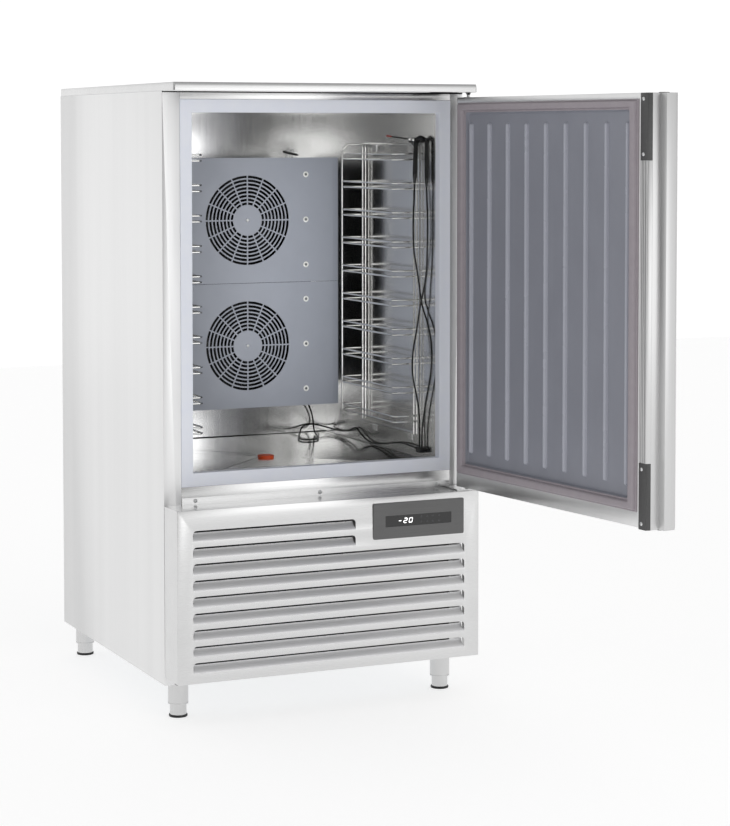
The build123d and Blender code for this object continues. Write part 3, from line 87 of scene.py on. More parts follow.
def addNode(tree, kind, inputs=None, **settings):
    node = tree.nodes.new(kind)
    for name, value in settings.items():
        setattr(node, name, value)
    feed(tree, node, inputs or {})
    return node


studio = {
    "sky": "#ffffff", "skyStrength": 1.06, "overhead": 0.42, "overheadFrom": 0.10, "overheadTo": 0.62,
    "cards": [((-0.97, -0.22, 0.0), 0.65), ((0.99, 0.10, 0.0), 0.70), ((-0.40, -0.90, 0.20), 0.94)],
    "cardEdge": (0.86, 0.97),
    "floor": "#c0c0c0", "floorGlow": 0.69, "floorSize": 16.0,
}
world = bpy.data.worlds.new("studio")
world.use_nodes = True
skyTree = world.node_tree
towards = addNode(skyTree, "ShaderNodeTexCoord").outputs["Generated"]
height = addNode(skyTree, "ShaderNodeSeparateXYZ", {"Vector": towards}).outputs["Z"]
dim = addNode(skyTree, "ShaderNodeMapRange", {
    "Value": height, "From Min": studio["overheadFrom"], "From Max": studio["overheadTo"],
    "To Min": studio["skyStrength"], "To Max": studio["skyStrength"] * studio["overhead"],
}, interpolation_type="SMOOTHSTEP")
for direction, share in studio["cards"]:
    facing = addNode(skyTree, "ShaderNodeVectorMath", {0: towards, 1: direction}, operation="DOT_PRODUCT")
    card = addNode(skyTree, "ShaderNodeMapRange", {
        "Value": facing.outputs["Value"], "From Min": studio["cardEdge"][0], "From Max": studio["cardEdge"][1],
        "To Min": 1.0, "To Max": 1.0 - share,
    }, interpolation_type="SMOOTHSTEP")
    dim = addNode(skyTree, "ShaderNodeMath", {0: dim, 1: card}, operation="MULTIPLY")
feed(skyTree, skyTree.nodes["Background"], {"Color": hexColour(studio["sky"]), "Strength": dim})
bpy.context.scene.world = world

softboxes = {
    # low front light from the right: evens the front faces
    "frontLight": {"place": (1.15, -3.6, 1.15), "aim": (0.0, 0.2, 1.0), "size": (1.8, 1.8), "power": 7,
                   "spread": 180},
    # strip light held in the opening, facing the cell: brightens the polished back wall
    "cellLight": {"place": (0.10, -0.375, 1.01), "aim": (0.10, 0.3, 1.01), "size": (0.24, 0.80), "power": 0.40,
                  "spread": 84},
    # high light from the left for the panels' soft gradient
    "keyLight": {"place": (-3.2, -4.6, 3.6), "aim": (0.0, -0.4, 0.7), "size": (2.6, 2.6), "power": 16,
                 "spread": 180},
}
for name, box in softboxes.items():
    light = bpy.data.lights.new(name, "AREA")
    light.shape = "RECTANGLE"
    light.size, light.size_y = box["size"]
    light.spread = radians(box["spread"])
    light.energy = box["power"]
    lamp = linked(name, light)
    lamp.location = box["place"]
    lamp.rotation_euler = (Vector(box["aim"]) - Vector(box["place"])).to_track_quat("-Z", "Y").to_euler()
print("stage: camera and light")


# ---- finishes ----
finishes = {}


def surface(name, colour, metallic, roughness, grain=None, roughSpread=0.0, tint=None, tintShare=0.3,
            bump=0.0, coat=0.0, specks=None, streaks=None, flatRoughness=None, glow=None):
    # grain and streaks: size of the pattern in mm along x, y and z of the row frame
    material = finishes[name] = bpy.data.materials.new(name)
    material.use_nodes = True
    tree = material.node_tree
    shader = tree.nodes["Principled BSDF"]
    feed(tree, shader, {"Base Color": hexColour(colour), "Metallic": metallic, "Roughness": roughness,
                        "Coat Weight": coat})
    material.diffuse_color = hexColour(colour)
    if glow:
        feed(tree, shader, {"Emission Color": hexColour("#ffffff"), "Emission Strength": glow})
    if not grain:
        return material
    place = addNode(tree, "ShaderNodeTexCoord")

    def pattern(size, detail, **more):
        scaled = addNode(tree, "ShaderNodeMapping", {"Vector": place.outputs["Object"],
                                                     "Scale": [1000 / s for s in size]})
        return addNode(tree, "ShaderNodeTexNoise", {"Vector": scaled, "Scale": 1.0, "Detail": detail, **more})

    noise = pattern(grain, 4.0, Roughness=0.55)
    if roughSpread:
        spread = addNode(tree, "ShaderNodeMapRange", {
            "Value": noise, "From Min": 0.3, "From Max": 0.7, "To Min": roughness - roughSpread,
            "To Max": roughness + roughSpread})
        feed(tree, shader, {"Roughness": spread})
        if flatRoughness:
            facing = addNode(tree, "ShaderNodeSeparateXYZ", {"Vector": place.outputs["Normal"]}).outputs["Z"]
            flat = addNode(tree, "ShaderNodeMath", {0: facing, 1: facing}, operation="MULTIPLY")
            blend = addNode(tree, "ShaderNodeMix", {"Factor": flat, "A": spread, "B": flatRoughness})
            feed(tree, shader, {"Roughness": blend})
    if tint:
        share = addNode(tree, "ShaderNodeMapRange", {
            "Value": pattern(streaks, 3.0) if streaks else noise, "From Min": 0.35, "From Max": 0.75,
            "To Min": 0.0, "To Max": tintShare})
        mixed = addNode(tree, "ShaderNodeMix", {"Factor": share, 6: hexColour(colour), 7: hexColour(tint)},
                        data_type="RGBA")
        feed(tree, shader, {"Base Color": mixed.outputs[2]})
    if bump:
        relief = addNode(tree, "ShaderNodeBump", {"Height": noise, "Strength": 0.35, "Distance": bump * mm})
        feed(tree, shader, {"Normal": relief})
    if specks:
        fine = addNode(tree, "ShaderNodeTexNoise", {"Vector": place.outputs["Object"], "Scale": 1000 / specks,
                                                    "Detail": 2.0})
        rise = addNode(tree, "ShaderNodeBump", {"Height": fine, "Strength": 0.25, "Distance": 0.05 * mm})
        feed(tree, shader, {"Normal": rise})
    return material


# scotch-brushed stainless, grain upright: a bright, nearly white sheet with soft streaks
surface("stainlessBrushedUpright", "#e6e6e6", 1.0, 0.34, (1.1, 1.1, 150), 0.04, "#d6d6d6", 0.3, 0.004,
        streaks=(60, 60, 3000))
# the same sheet with its grain across
surface("stainlessBrushedAcross", "#d9d9d9", 1.0, 0.25, (150, 1.1, 1.1), 0.04, "#c9c9c9", 0.3, 0.004,
        streaks=(3000, 60, 60))
# the pressed blades: the drawn sheet scatters more, an even grey slope
surface("stainlessPressedBlade", "#e6e6e7", 1.0, 0.5, (150, 1.1, 1.1), 0.04, "#dadadb", 0.3, 0.003,
        streaks=(3000, 60, 60))
# bright annealed liner sheet: clear but slightly smeared reflections
surface("stainlessBrightAnnealed", "#e6e6e5", 1.0, 0.18, (3, 3, 220), 0.03, "#d2d2d1", 0.25, 0.002,
        streaks=(220, 220, 2600), flatRoughness=0.12)
# hot-dip zinc coated sheet: pale grey with large faint crystals
surface("zincCoatedSheet", "#b9bdc0", 1.0, 0.42, (14, 14, 14), 0.08, "#9da2a6", 0.5)
# rigid polyurethane foam: dull yellow, fine cells
surface("polyurethaneFoam", "#d9c38a", 0.0, 0.9, (3, 3, 3), 0.0, "#bfa468", 0.5, 0.3)
# dark grey core board: its dark is painted shade for the gap under the worktop
surface("coreBoardPaintedGapShade", "#3c3b3a", 0.0, 0.7, (5, 5, 5), 0.04, "#2f2e2d", 0.6, 0.1)
# moulded ABS in a pale lavender: satin, slightly pebbled
surface("mouldedAbsLavender", "#f4f7ff", 0.0, 0.38, (40, 40, 40), 0.04, "#eef2ff", 0.5, specks=1.2)
# polyester powder coat in blue grey: even, fine orange peel
surface("powderCoatBlueGrey", "#a5aab5", 0.0, 0.42, (60, 60, 60), 0.05, "#9fa4af", 0.5, specks=1.4)
# vacuum formed polystyrene: soft sheen; the ribs have their own paler finish, which is painted highlight
surface("formedPolystyreneGrey", "#91939d", 0.0, 0.30, (80, 80, 120), 0.02, "#858791", 0.4, specks=0.5)
# the same sheet, paler on the ribs: painted highlight for the light on the ribs, drawn as paler bands
surface("formedPolystyreneRibHighlight", "#b4b6c1", 0.0, 0.28, (80, 80, 120), 0.02, "#acaeb9", 0.4)
# soft PVC gasket: matt, slightly mauve
surface("gasketPvcMauve", "#a69ea4", 0.0, 0.5, (20, 20, 20), 0.05, "#9c949a", 0.5)
# dark moulded ABS caps
surface("mouldedAbsDarkGrey", "#4e4e4e", 0.0, 0.45, (8, 8, 8), 0.05, "#444444", 0.4, specks=0.8)
# black rubber and TPE
surface("blackRubber", "#141414", 0.0, 0.45, (4, 4, 4), 0.06, "#1e1e1e", 0.4)
# polished black PVC boots and leads: narrow highlights
surface("blackPvcGlossy", "#0d0d0d", 0.0, 0.24, (6, 6, 6), 0.04, "#161616")
# electropolished round wire
surface("electropolishedWire", "#f4f4f2", 1.0, 0.16, (3, 3, 3), 0.04, "#c9c9c7")
# zinc plated screw heads
surface("zincPlatedScrew", "#e8e9e9", 1.0, 0.34, (2, 2, 2), 0.05, "#d2d4d5", 0.4)
# stainless screws of the fan panels: darker than their washers
surface("stainlessScrewDull", "#8d8f93", 1.0, 0.4, (2, 2, 2), 0.05, "#7a7c80", 0.4)
# satin anodised extrusion: fine lengthwise die lines
surface("satinAnodisedAluminium", "#d2d2d2", 1.0, 0.36, (0.9, 0.9, 300), 0.04, "#c0c0c0", 0.3, 0.003)
# dark brushed and lacquered steel bezel
surface("darkBrushedBezel", "#676767", 1.0, 0.34, (160, 1.0, 1.0), 0.06, "#545454", 0.5, 0.008)
# folded crease in the liner's floor, coloured dark grey: painted shade in the fold, which draws a dark hairline
surface("stainlessPaintedCreaseShade", "#5a5a5a", 1.0, 0.3, (2, 2, 60), 0.05, "#4a4a4a", 0.4)
# drawn and polished tube of the feet: clear reflections of the studio's dark cards
surface("polishedStainlessTube", "#d2d2d2", 1.0, 0.16, (1, 1, 60), 0.04, "#c0c0c0", 0.4)
# off-white nylon washers under the panel screws
surface("offWhiteNylon", "#fbfbf8", 0.0, 0.4, (3, 3, 3), 0.04, "#f0f0ec", 0.4)
# polished polycarbonate over black
surface("blackPolycarbonate", "#050506", 0.0, 0.12, (30, 30, 30), 0.03, "#0a0a0c", 0.4, coat=0.4)
# moulded orange polypropylene plug
surface("orangePolypropylene", "#e0521e", 0.0, 0.4, (6, 6, 6), 0.05, "#c9430f", 0.4)
# baked black enamel
surface("blackEnamel", "#101012", 0.0, 0.28, (30, 30, 30), 0.05, "#17171a", 0.4)
# evaporator and condenser fins in black: painted shade, so that the grilles read dark
surface("finsBlackPaintedShade", "#17181b", 0.0, 0.5, (2.1, 60, 60), 0.06, "#0c0d0f", 0.7)
# closed-cell rubber lagging on the pipes
surface("closedCellRubberLagging", "#16171a", 0.0, 0.8, (2, 2, 2), 0.05, "#1f2023", 0.5, 0.2)
# drawn copper tube, lightly tarnished
surface("drawnCopperTube", "#c9865c", 1.0, 0.3, (12, 12, 12), 0.08, "#9c5f3e", 0.5)
# glass-filled black nylon fans
surface("blackGlassFilledNylon", "#15161a", 0.0, 0.5, (5, 5, 5), 0.06, "#1d1e22", 0.4)
# grey PVC pipe and nylon glands
surface("greyPvcPipe", "#6b6e70", 0.0, 0.42, (10, 10, 10), 0.05, "#5f6264", 0.4)
# red heat-shrink on the probe's tip
surface("redHeatShrink", "#8e1f1c", 0.0, 0.35, (3, 3, 3), 0.05, "#761512", 0.4)
# faint printed key symbols under the window
surface("greyKeyPrint", "#5c5c62", 0.0, 0.3, (2, 2, 2), 0.03, "#505056", 0.4)
# lit segments: flat, bright white
surface("ledDigitWhite", "#ffffff", 0.0, 0.5, glow=1.6)

nodeFinish = {
    "stainlessBrushedUpright": ["side_panel_left", "side_panel_right", "door_skin"],
    "polishedStainlessTube": ["leg_sleeves"] + feet,
    "stainlessBrushedAcross": ["worktop", "front_strips", "lower_cover", "hinge_brackets", "rack_hooks",
                               "sensor_clip"],
    "stainlessBrightAnnealed": ["inner_liner"],
    "zincCoatedSheet": ["back_panel", "base_tray", "condenser_shroud"],
    "polyurethaneFoam": ["insulation", "door_foam"],
    # the core board's dark grey is painted shade for the gap under the worktop
    "coreBoardPaintedGapShade": ["worktop_core"],
    "mouldedAbsLavender": ["opening_frame"],
    "powderCoatBlueGrey": ["fan_panel_upper", "fan_panel_lower"],
    "formedPolystyreneGrey": ["door_inner_panel"],
    "gasketPvcMauve": ["door_gasket"],
    "mouldedAbsDarkGrey": ["door_end_caps", "hinge_bushes", "worktop_spacers", "control_module", "electrical_box"],
    "blackRubber": ["compressor_mounts"],
    "blackPvcGlossy": ["probe_handle", "probe_leads", "probe_splice", "probe_cable"],
    "electropolishedWire": ["rack_right", "rack_left", "probe_needle"],
    "zincPlatedScrew": ["panel_screws", "cover_screws", "door_cap_screws"],
    "satinAnodisedAluminium": ["door_edge_profile"],
    "darkBrushedBezel": ["control_bezel"],
    "blackPolycarbonate": ["display_window"],
    "orangePolypropylene": ["drain_plug"],
    "blackEnamel": ["compressor", "fan_motors", "condenser_motor", "evaporator_frame"],
    # the coils' black fins are painted shade behind the grilles
    "finsBlackPaintedShade": ["evaporator_coil", "condenser_coil"],
    "closedCellRubberLagging": ["refrigerant_pipes"],
    "drawnCopperTube": ["filter_drier"],
    "blackGlassFilledNylon": ["fan_blade_upper", "fan_blade_lower", "condenser_fan"],
    "greyPvcPipe": ["drain_spigot", "cable_glands"],
}
for finish, names in nodeFinish.items():
    for name in names:
        for slotOfNode in nodes[name].material_slots:
            slotOfNode.link = "OBJECT"
            slotOfNode.material = finishes[finish]
print("stage: finishes")


# ---- helpers for pieces ----
def newPiece(name, mesh, finish, body, standsFor=(), smooth=True):
    piece = linked(name, mesh)
    if finish is not None:
        mesh.materials.clear()
        mesh.materials.append(finishes[finish])
    if smooth:
        mesh.shade_smooth()
        mesh.set_sharp_from_angle(angle=radians(35))
    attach(piece, body)
    if standsFor:
        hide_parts(*standsFor)
    return piece


def meshFrom(name, points, faces):
    mesh = bpy.data.meshes.new(name)
    mesh.from_pydata([[c * mm for c in p] for p in points], [], faces)
    work = bmesh.new()
    work.from_mesh(mesh)
    bmesh.ops.recalc_face_normals(work, faces=work.faces)
    work.to_mesh(mesh)
    work.free()
    return mesh


def shellPiece(name, shell, finish, body, standsFor=(), smooth=True):
    # a piece from one (points, faces) shell
    return newPiece(name, meshFrom(name, *shell), finish, body, standsFor, smooth)


def joined(shells):
    # several (points, faces) shells as one
    points, faces = [], []
    for shellPoints, shellFaces in shells:
        start = len(points)
        points += shellPoints
        faces += [[i + start for i in face] for face in shellFaces]
    return points, faces


def stitched(loops, closedEnds=True):
    # closed loops of equal length, joined by quads
    points = [p for loop in loops for p in loop]
    count = len(loops[0])
    faces = []
    for k in range(len(loops) - 1):
        for i in range(count):
            j = (i + 1) % count
            faces.append([k * count + i, k * count + j, (k + 1) * count + j, (k + 1) * count + i])
    if closedEnds:
        faces.append(list(range(count))[::-1])
        faces.append([(len(loops) - 1) * count + i for i in range(count)])
    return points, faces


def turned(profile, base, axis=(0, 0, 1), steps=32):
    # a profile of (radius, height) turned about an axis through base; a closed profile gives a ring
    spin = Vector((0, 0, 1)).rotation_difference(Vector(axis).normalized()).to_matrix()
    loops = []
    for radius, height in profile:
        loop = []
        for i in range(steps):
            turn = 2 * pi * i / steps
            local = Vector((radius * cos(turn), radius * sin(turn), height))
            loop.append(tuple(Vector(base) + spin @ local))
        loops.append(loop)
    return stitched(loops, closedEnds=profile[0] != profile[-1])


def arc(x, z, radius, start, end, steps):
    # points from start to end, in degrees, both included
    turns = [radians(start + (end - start) * i / steps) for i in range(steps + 1)]
    return [(x + radius * cos(turn), z + radius * sin(turn)) for turn in turns]


def rectangle(x, z):
    return [(x[0], z[0]), (x[1], z[0]), (x[1], z[1]), (x[0], z[1])]


def roundedLoop(x, z, radius, steps=6):
    # a rectangle with round corners as (x, z) points
    corners = [(x[1] - radius, z[1] - radius, 0), (x[0] + radius, z[1] - radius, 90),
               (x[0] + radius, z[0] + radius, 180), (x[1] - radius, z[0] + radius, 270)]
    return [point for cx, cz, start in corners for point in arc(cx, cz, radius, start, start + 90, steps)]


def boxShell(x, y, z):
    return stitched([[(px, py, h) for px, py in rectangle(x, y)] for h in z])


def softened(node, finish, body, width, angle=28):
    # the CAD sheet with its loose triangles merged and its sharp edges broken
    work = bmesh.new()
    work.from_mesh(nodes[node].data)
    bmesh.ops.remove_doubles(work, verts=work.verts, dist=1e-6)
    bmesh.ops.dissolve_limit(work, angle_limit=radians(1.0), verts=work.verts, edges=work.edges)
    sharp = [e for e in work.edges if len(e.link_faces) == 2 and e.calc_face_angle(0) > radians(angle)]
    bmesh.ops.bevel(work, geom=sharp, offset=width * mm, segments=2, profile=0.5, affect="EDGES",
                    clamp_overlap=True)
    mesh = bpy.data.meshes.new(node + "Soft")
    work.to_mesh(mesh)
    work.free()
    return newPiece(node + "Soft", mesh, finish, body, (node,))


def frozen(thing):
    # the object's evaluated shape as a plain mesh; the object itself goes
    graph = bpy.context.evaluated_depsgraph_get()
    mesh = bpy.data.meshes.new_from_object(thing.evaluated_get(graph))
    bpy.data.objects.remove(thing)
    return mesh


def baked(name, mesh, tree, finish, values, body, standsFor=()):
    # runs a node tree on a mesh and keeps the result as a plain mesh
    maker = linked(name + "Maker", mesh)
    modifier = maker.modifiers.new("make", "NODES")
    modifier.node_group = tree
    values = {"Finish": finishes[finish], **values}
    for item in tree.interface.items_tree:
        if item.item_type == "SOCKET" and item.in_out == "INPUT" and item.name in values:
            modifier[item.identifier] = values[item.name]
    result = frozen(maker)
    result.name = name
    return newPiece(name, result, None, body, standsFor)


def newTree(name, sockets):
    # a tree from mesh to mesh; baked gives each of its inputs a value
    tree = bpy.data.node_groups.new(name, "GeometryNodeTree")
    for label, kind in {"Geometry": "Geometry", **sockets}.items():
        tree.interface.new_socket(label, in_out="INPUT", socket_type="NodeSocket" + kind)
    tree.interface.new_socket("Geometry", in_out="OUTPUT", socket_type="NodeSocketGeometry")
    return tree, addNode(tree, "NodeGroupInput").outputs


def inPlaces(tree, given, instance, points=None, more=None):
    # the instance on each point, or in a row by Count and Step, made real, with its finish
    if points is None:
        points = addNode(tree, "GeometryNodeMeshLine", {"Count": given["Count"], "Offset": given["Step"]},
                         mode="OFFSET")
    row = addNode(tree, "GeometryNodeInstanceOnPoints", {"Points": points, "Instance": instance, **(more or {})})
    real = addNode(tree, "GeometryNodeRealizeInstances", {"Geometry": row})
    done = addNode(tree, "GeometryNodeSetMaterial", {"Geometry": real, "Material": given["Finish"]})
    addNode(tree, "NodeGroupOutput", {"Geometry": done})
    return tree


def screwTree():
    # dome heads with a cross recess, one on each point
    tree, given = newTree("domeScrews", {"Head Radius": "Float", "Head Height": "Float", "Recess Width": "Float",
                                         "Turn": "Vector", "Finish": "Material"})
    ball = addNode(tree, "GeometryNodeMeshUVSphere", {"Segments": 28, "Rings": 14, "Radius": 1.0})
    size = addNode(tree, "ShaderNodeCombineXYZ", {"X": given["Head Radius"], "Y": given["Head Radius"],
                                                  "Z": given["Head Height"]})
    dome = addNode(tree, "GeometryNodeTransform", {"Geometry": ball, "Scale": size})
    span = addNode(tree, "ShaderNodeMath", {0: given["Head Radius"], 1: 1.05}, operation="MULTIPLY").outputs[0]
    cut = addNode(tree, "GeometryNodeMeshBoolean", {0: dome}, operation="DIFFERENCE")
    lift = addNode(tree, "ShaderNodeCombineXYZ", {"Z": given["Head Height"]})
    for length, width in ((span, given["Recess Width"]), (given["Recess Width"], span)):
        barSize = addNode(tree, "ShaderNodeCombineXYZ", {"X": length, "Y": width, "Z": given["Head Height"]})
        bar = addNode(tree, "GeometryNodeMeshCube", {"Size": barSize})
        feed(tree, cut, {1: addNode(tree, "GeometryNodeTransform", {"Geometry": bar, "Translation": lift})})
    return inPlaces(tree, given, cut, given["Geometry"], {"Rotation": given["Turn"]})


def rowTree():
    # the given shape repeated along a straight row
    tree, given = newTree("shapeRow", {"Count": "Int", "Step": "Vector", "Finish": "Material"})
    return inPlaces(tree, given, given["Geometry"])


def wireTree():
    # polylines as round wire, each corner cut by one straight piece, repeated in levels
    tree, given = newTree("bentWireLevels", {"Wire Radius": "Float", "Bend Radius": "Float", "Count": "Int",
                                             "Step": "Vector", "Finish": "Material"})
    path = addNode(tree, "GeometryNodeMeshToCurve", {"Mesh": given["Geometry"]})
    bent = addNode(tree, "GeometryNodeFilletCurve", {"Curve": path, "Radius": given["Bend Radius"],
                                                     "Limit Radius": True}, mode="POLY")
    ring = addNode(tree, "GeometryNodeCurvePrimitiveCircle", {"Resolution": 14, "Radius": given["Wire Radius"]})
    tube = addNode(tree, "GeometryNodeCurveToMesh", {"Curve": bent, "Profile Curve": ring, "Fill Caps": True})
    return inPlaces(tree, given, tube)


screws = screwTree()
rows = rowTree()
wires = wireTree()


def runMesh(name, runs):
    points, edges = [], []
    for run in runs:
        start = len(points)
        points += [[c * mm for c in p] for p in run]
        edges += [[start + i, start + i + 1] for i in range(len(run) - 1)]
    mesh = bpy.data.meshes.new(name)
    mesh.from_pydata(points, edges, [])
    return mesh


def screwHeads(name, places, size, turn, finish, body, standsFor=()):
    # size: radius, height and recess width in mm; turn: degrees about x and z
    radius, height, recess = size
    baked(name, runMesh(name, [[place] for place in places]), screws, finish, {
        "Head Radius": radius * mm, "Head Height": height * mm, "Recess Width": recess * mm,
        "Turn": (radians(turn[0]), 0, radians(turn[1]))}, body, standsFor)


def plate(outline, holes, thickness, edge):
    # a flat sheet with holes, its edges broken, standing in the XZ plane with its back at y = 0
    curve = bpy.data.curves.new("plate", "CURVE")
    curve.dimensions = "2D"
    curve.fill_mode = "BOTH"
    curve.extrude = (thickness / 2 - edge) * mm
    curve.bevel_depth = edge * mm
    curve.bevel_resolution = 1
    curve.offset = -edge * mm
    for ring in [outline] + holes:
        spline = curve.splines.new("POLY")
        spline.points.add(len(ring) - 1)
        for point, (x, z) in zip(spline.points, ring):
            point.co = (x * mm, z * mm, 0, 1)
        spline.use_cyclic_u = True
    mesh = frozen(linked("plate", curve))
    mesh.transform(Matrix.Rotation(radians(90), 4, "X"))
    mesh.transform(Matrix.Translation((0, -thickness / 2 * mm, 0)))
    return mesh


def merged(name, meshes):
    work = bmesh.new()
    for mesh in meshes:
        work.from_mesh(mesh)
    result = bpy.data.meshes.new(name)
    bmesh.ops.remove_doubles(work, verts=work.verts, dist=2e-6)
    bmesh.ops.recalc_face_normals(work, faces=work.faces)
    work.to_mesh(result)
    work.free()
    return result


# ---- core probe cords, drawn first ----
cords = {
    "diameter": 4.5,
    "leadOne": [
        (316, -298, 1283), (315, -299, 1252), (311.5, -300, 1205), (311, -300.5, 1158), (313, -300, 1110),
        (320.5, -300, 1072), (328, -301, 1026), (330.8, -304, 988), (330.3, -322, 960), (329.5, -346, 932),
        (329, -366, 897), (329, -373, 857), (329, -369, 812), (329, -352, 765), (329, -333, 716),
        (328.5, -319, 668), (328, -316.5, 636), (328, -317, 611.5)],
    "leadTwo": [
        (327, -344, 1277), (328, -344.5, 1246), (329, -347, 1200), (328.5, -347.5, 1150), (329, -344.5, 1104),
        (329, -341, 1060), (327.5, -331, 1020), (323.5, -320, 984), (324, -307, 948), (320, -301, 905),
        (312, -299.5, 862), (308, -300, 822), (310.5, -300.5, 784), (320, -300, 748), (328, -299.5, 706),
        (330.3, -300.5, 664), (328.6, -302.5, 634), (328, -303, 611.5)],
    "probeCable": [
        (326, -295.5, 604), (326.3, -274, 606.5), (327, -234, 608), (328, -190, 607.5), (329, -150, 602.5),
        (329.6, -111, 596), (330, -74, 590), (330.3, -38, 586), (330.5, -3, 585), (330.3, 31, 590),
        (330, 62, 602), (330, 88, 613.5), (330.2, 108, 612), (330.5, 130, 602.5), (331, 160, 596.5),
        (331, 198, 593), (330.5, 236, 592), (329, 268, 592.5), (321, 293, 595), (303, 304, 599.5),
        (282, 304.3, 602), (264, 300, 599), (250, 287, 592), (238, 265, 585.5), (223, 235, 582.5),
        (208, 207, 581.5), (197, 181, 581), (196, 156, 581), (213, 138, 581), (236, 142, 581), (249, 163, 581.5),
        (259, 191, 582), (268, 220, 582.5), (276, 248, 583.5), (284.5, 273, 587), (290, 291, 596),
        (291.5, 296.5, 611), (288.5, 297, 628), (281, 293, 646), (272, 286.5, 661), (262.5, 279.5, 674.5),
        (253, 274.5, 687), (247, 276.5, 702), (244.3, 286.5, 712.5), (244, 300.7, 713)],
    "lengths": {"leadOne": 0.700, "leadTwo": 0.674, "probeCable": 1.177},
}


def drawCord(name, points):
    curve = bpy.data.curves.new(name, "CURVE")
    curve.dimensions = "3D"
    curve.resolution_u = 8
    curve.bevel_depth = cords["diameter"] / 2 * mm
    curve.bevel_resolution = 4
    curve.use_fill_caps = True
    spline = curve.splines.new("NURBS")
    spline.points.add(len(points) - 1)
    for point, (x, y, z) in zip(spline.points, points):
        point.co = (x * mm, y * mm, z * mm, 1)
    spline.order_u = 3
    spline.use_endpoint_u = True
    curve.materials.append(finishes["blackPvcGlossy"])
    cord = linked(name, curve)
    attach(cord, "rack_right")
    return cord


leadOne, leadTwo, probeCable = [drawCord(name, cords[name]) for name in cords["lengths"]]
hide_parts("probe_leads")
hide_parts("probe_cable")
print("stage: cords")

# ---- cabinet sheets ----
for node, finish, width in (("side_panel_left", "stainlessBrushedUpright", 0.5),
                            ("side_panel_right", "stainlessBrushedUpright", 0.5),
                            ("front_strips", "stainlessBrushedAcross", 0.4)):
    softened(node, finish, "cabinet", width)
print("stage: cabinet")

# ---- lower cover ----
cover = {
    "half": 400.0, "front": -492.0, "back": -400.0, "low": 105.0, "top": 520.0, "sheet": 1.2, "edge": 0.3,
    "sideGap": 4.5, "upstand": (-354.0, 364.0, 536.0), "bottomReturn": 22.0,
    "louvreLeft": -360.0, "louvreRight": 360.0, "shortRight": 62.5, "firstTop": 471.2, "pitch": 39.54,
    "height": 25.0, "mouth": 6.0, "depth": 10.5, "corner": 9.0, "endGap": 3.4, "shortCount": 2, "longCount": 7,
    "window": ((142.0, 322.0), (446.0, 473.0)), "cellsAcross": 90, "cellsUp": 16,
    "screwXs": (-320, 7, 328), "screwY": -401.2, "screwZ": 528,
    # the eased shares of the blade's lean and spacing, and where it parts from the sheet
    "easedLean": 0.55, "easedSpacing": 0.35, "partFrom": 0.1, "partOver": 0.5,
}


def eased(share):
    return share * share * (3 - 2 * share)


def louvreHole(left, right, top):
    low = top - cover["height"]
    r = cover["corner"]
    return ([(left, low), (right, low)] + arc(right - r, top - r, r, 0, 90, 6)
            + arc(left + r, top - r, r, 90, 180, 6))


def pressing(left, right, top):
    # a pressed blade: flush along its lower edge, leaning in to the mouth and parted from the sheet at its ends
    low = top - cover["height"]
    lip = top - cover["mouth"]
    across, up = cover["cellsAcross"], cover["cellsUp"]
    points = []
    for back in (0.0, cover["sheet"]):
        for j in range(up + 1):
            t = j / up
            z = low + (lip - low) * t
            lean = cover["depth"] * (eased(t) * cover["easedLean"] + t * (1 - cover["easedLean"]))
            gap = cover["endGap"] * eased(min(1.0, max(0.0, (t - cover["partFrom"]) / cover["partOver"])))
            for i in range(across + 1):
                s = i / across
                edge = 0.5 - 0.5 * cos(pi * s)
                along = cover["easedSpacing"] * edge + (1 - cover["easedSpacing"]) * s
                points.append((left + gap + (right - left - 2 * gap) * along, cover["front"] + lean + back, z))
    count = (across + 1) * (up + 1)
    faces = []
    for j in range(up):
        for i in range(across):
            a = j * (across + 1) + i
            faces.append([a, a + 1, a + across + 2, a + across + 1])
            faces.append([count + a + across + 1, count + a + across + 2, count + a + 1, count + a])
    rim = list(range(across + 1))
    rim += [j * (across + 1) + across for j in range(1, up + 1)]
    rim += [up * (across + 1) + i for i in range(across - 1, -1, -1)]
    rim += [j * (across + 1) for j in range(up - 1, 0, -1)]
    for a, b in zip(rim, rim[1:] + rim[:1]):
        faces.append([b, a, count + a, count + b])
    return points, faces


coverHoles = []
for i in range(cover["shortCount"] + cover["longCount"]):
    right = cover["shortRight"] if i < cover["shortCount"] else cover["louvreRight"]
    coverHoles.append(louvreHole(cover["louvreLeft"], right, cover["firstTop"] - i * cover["pitch"]))
coverHoles.append(rectangle(*cover["window"]))
coverFace = plate(rectangle((-cover["half"], cover["half"]), (cover["low"], cover["top"])), coverHoles,
                  cover["sheet"], cover["edge"])
coverFace.transform(Matrix.Translation((0, (cover["front"] + cover["sheet"]) * mm, 0)))
sheet, half, front, back = cover["sheet"], cover["half"], cover["front"], cover["back"]
sideY, sideZ = (front + sheet, back - cover["sideGap"]), (cover["low"], cover["top"] - sheet)
folds = [
    boxShell((-half, half), (front + sheet + 0.5, back), (cover["top"] - sheet, cover["top"])),
    boxShell((-half, -half + sheet), sideY, sideZ),
    boxShell((half - sheet, half), sideY, sideZ),
    boxShell((-half, half), (front + sheet, front + cover["bottomReturn"]), (cover["low"], cover["low"] + sheet)),
    boxShell(cover["upstand"][:2], (back - sheet, back), (cover["top"], cover["upstand"][2])),
]
coverFolds = meshFrom("coverFolds", *joined(folds))
newPiece("coverSheet", merged("coverSheet", [coverFace, coverFolds]), "stainlessBrushedAcross", "cabinet",
         ("lower_cover",))
for name, right, count, skip in (("louvresShort", cover["shortRight"], cover["shortCount"], 0),
                                 ("louvresLong", cover["louvreRight"], cover["longCount"], cover["shortCount"])):
    blade = pressing(cover["louvreLeft"], right, cover["firstTop"] - skip * cover["pitch"])
    baked(name, meshFrom(name, *blade), rows, "stainlessPressedBlade",
          {"Count": count, "Step": (0, 0, -cover["pitch"] * mm)}, "cabinet")
print("stage: lower cover")

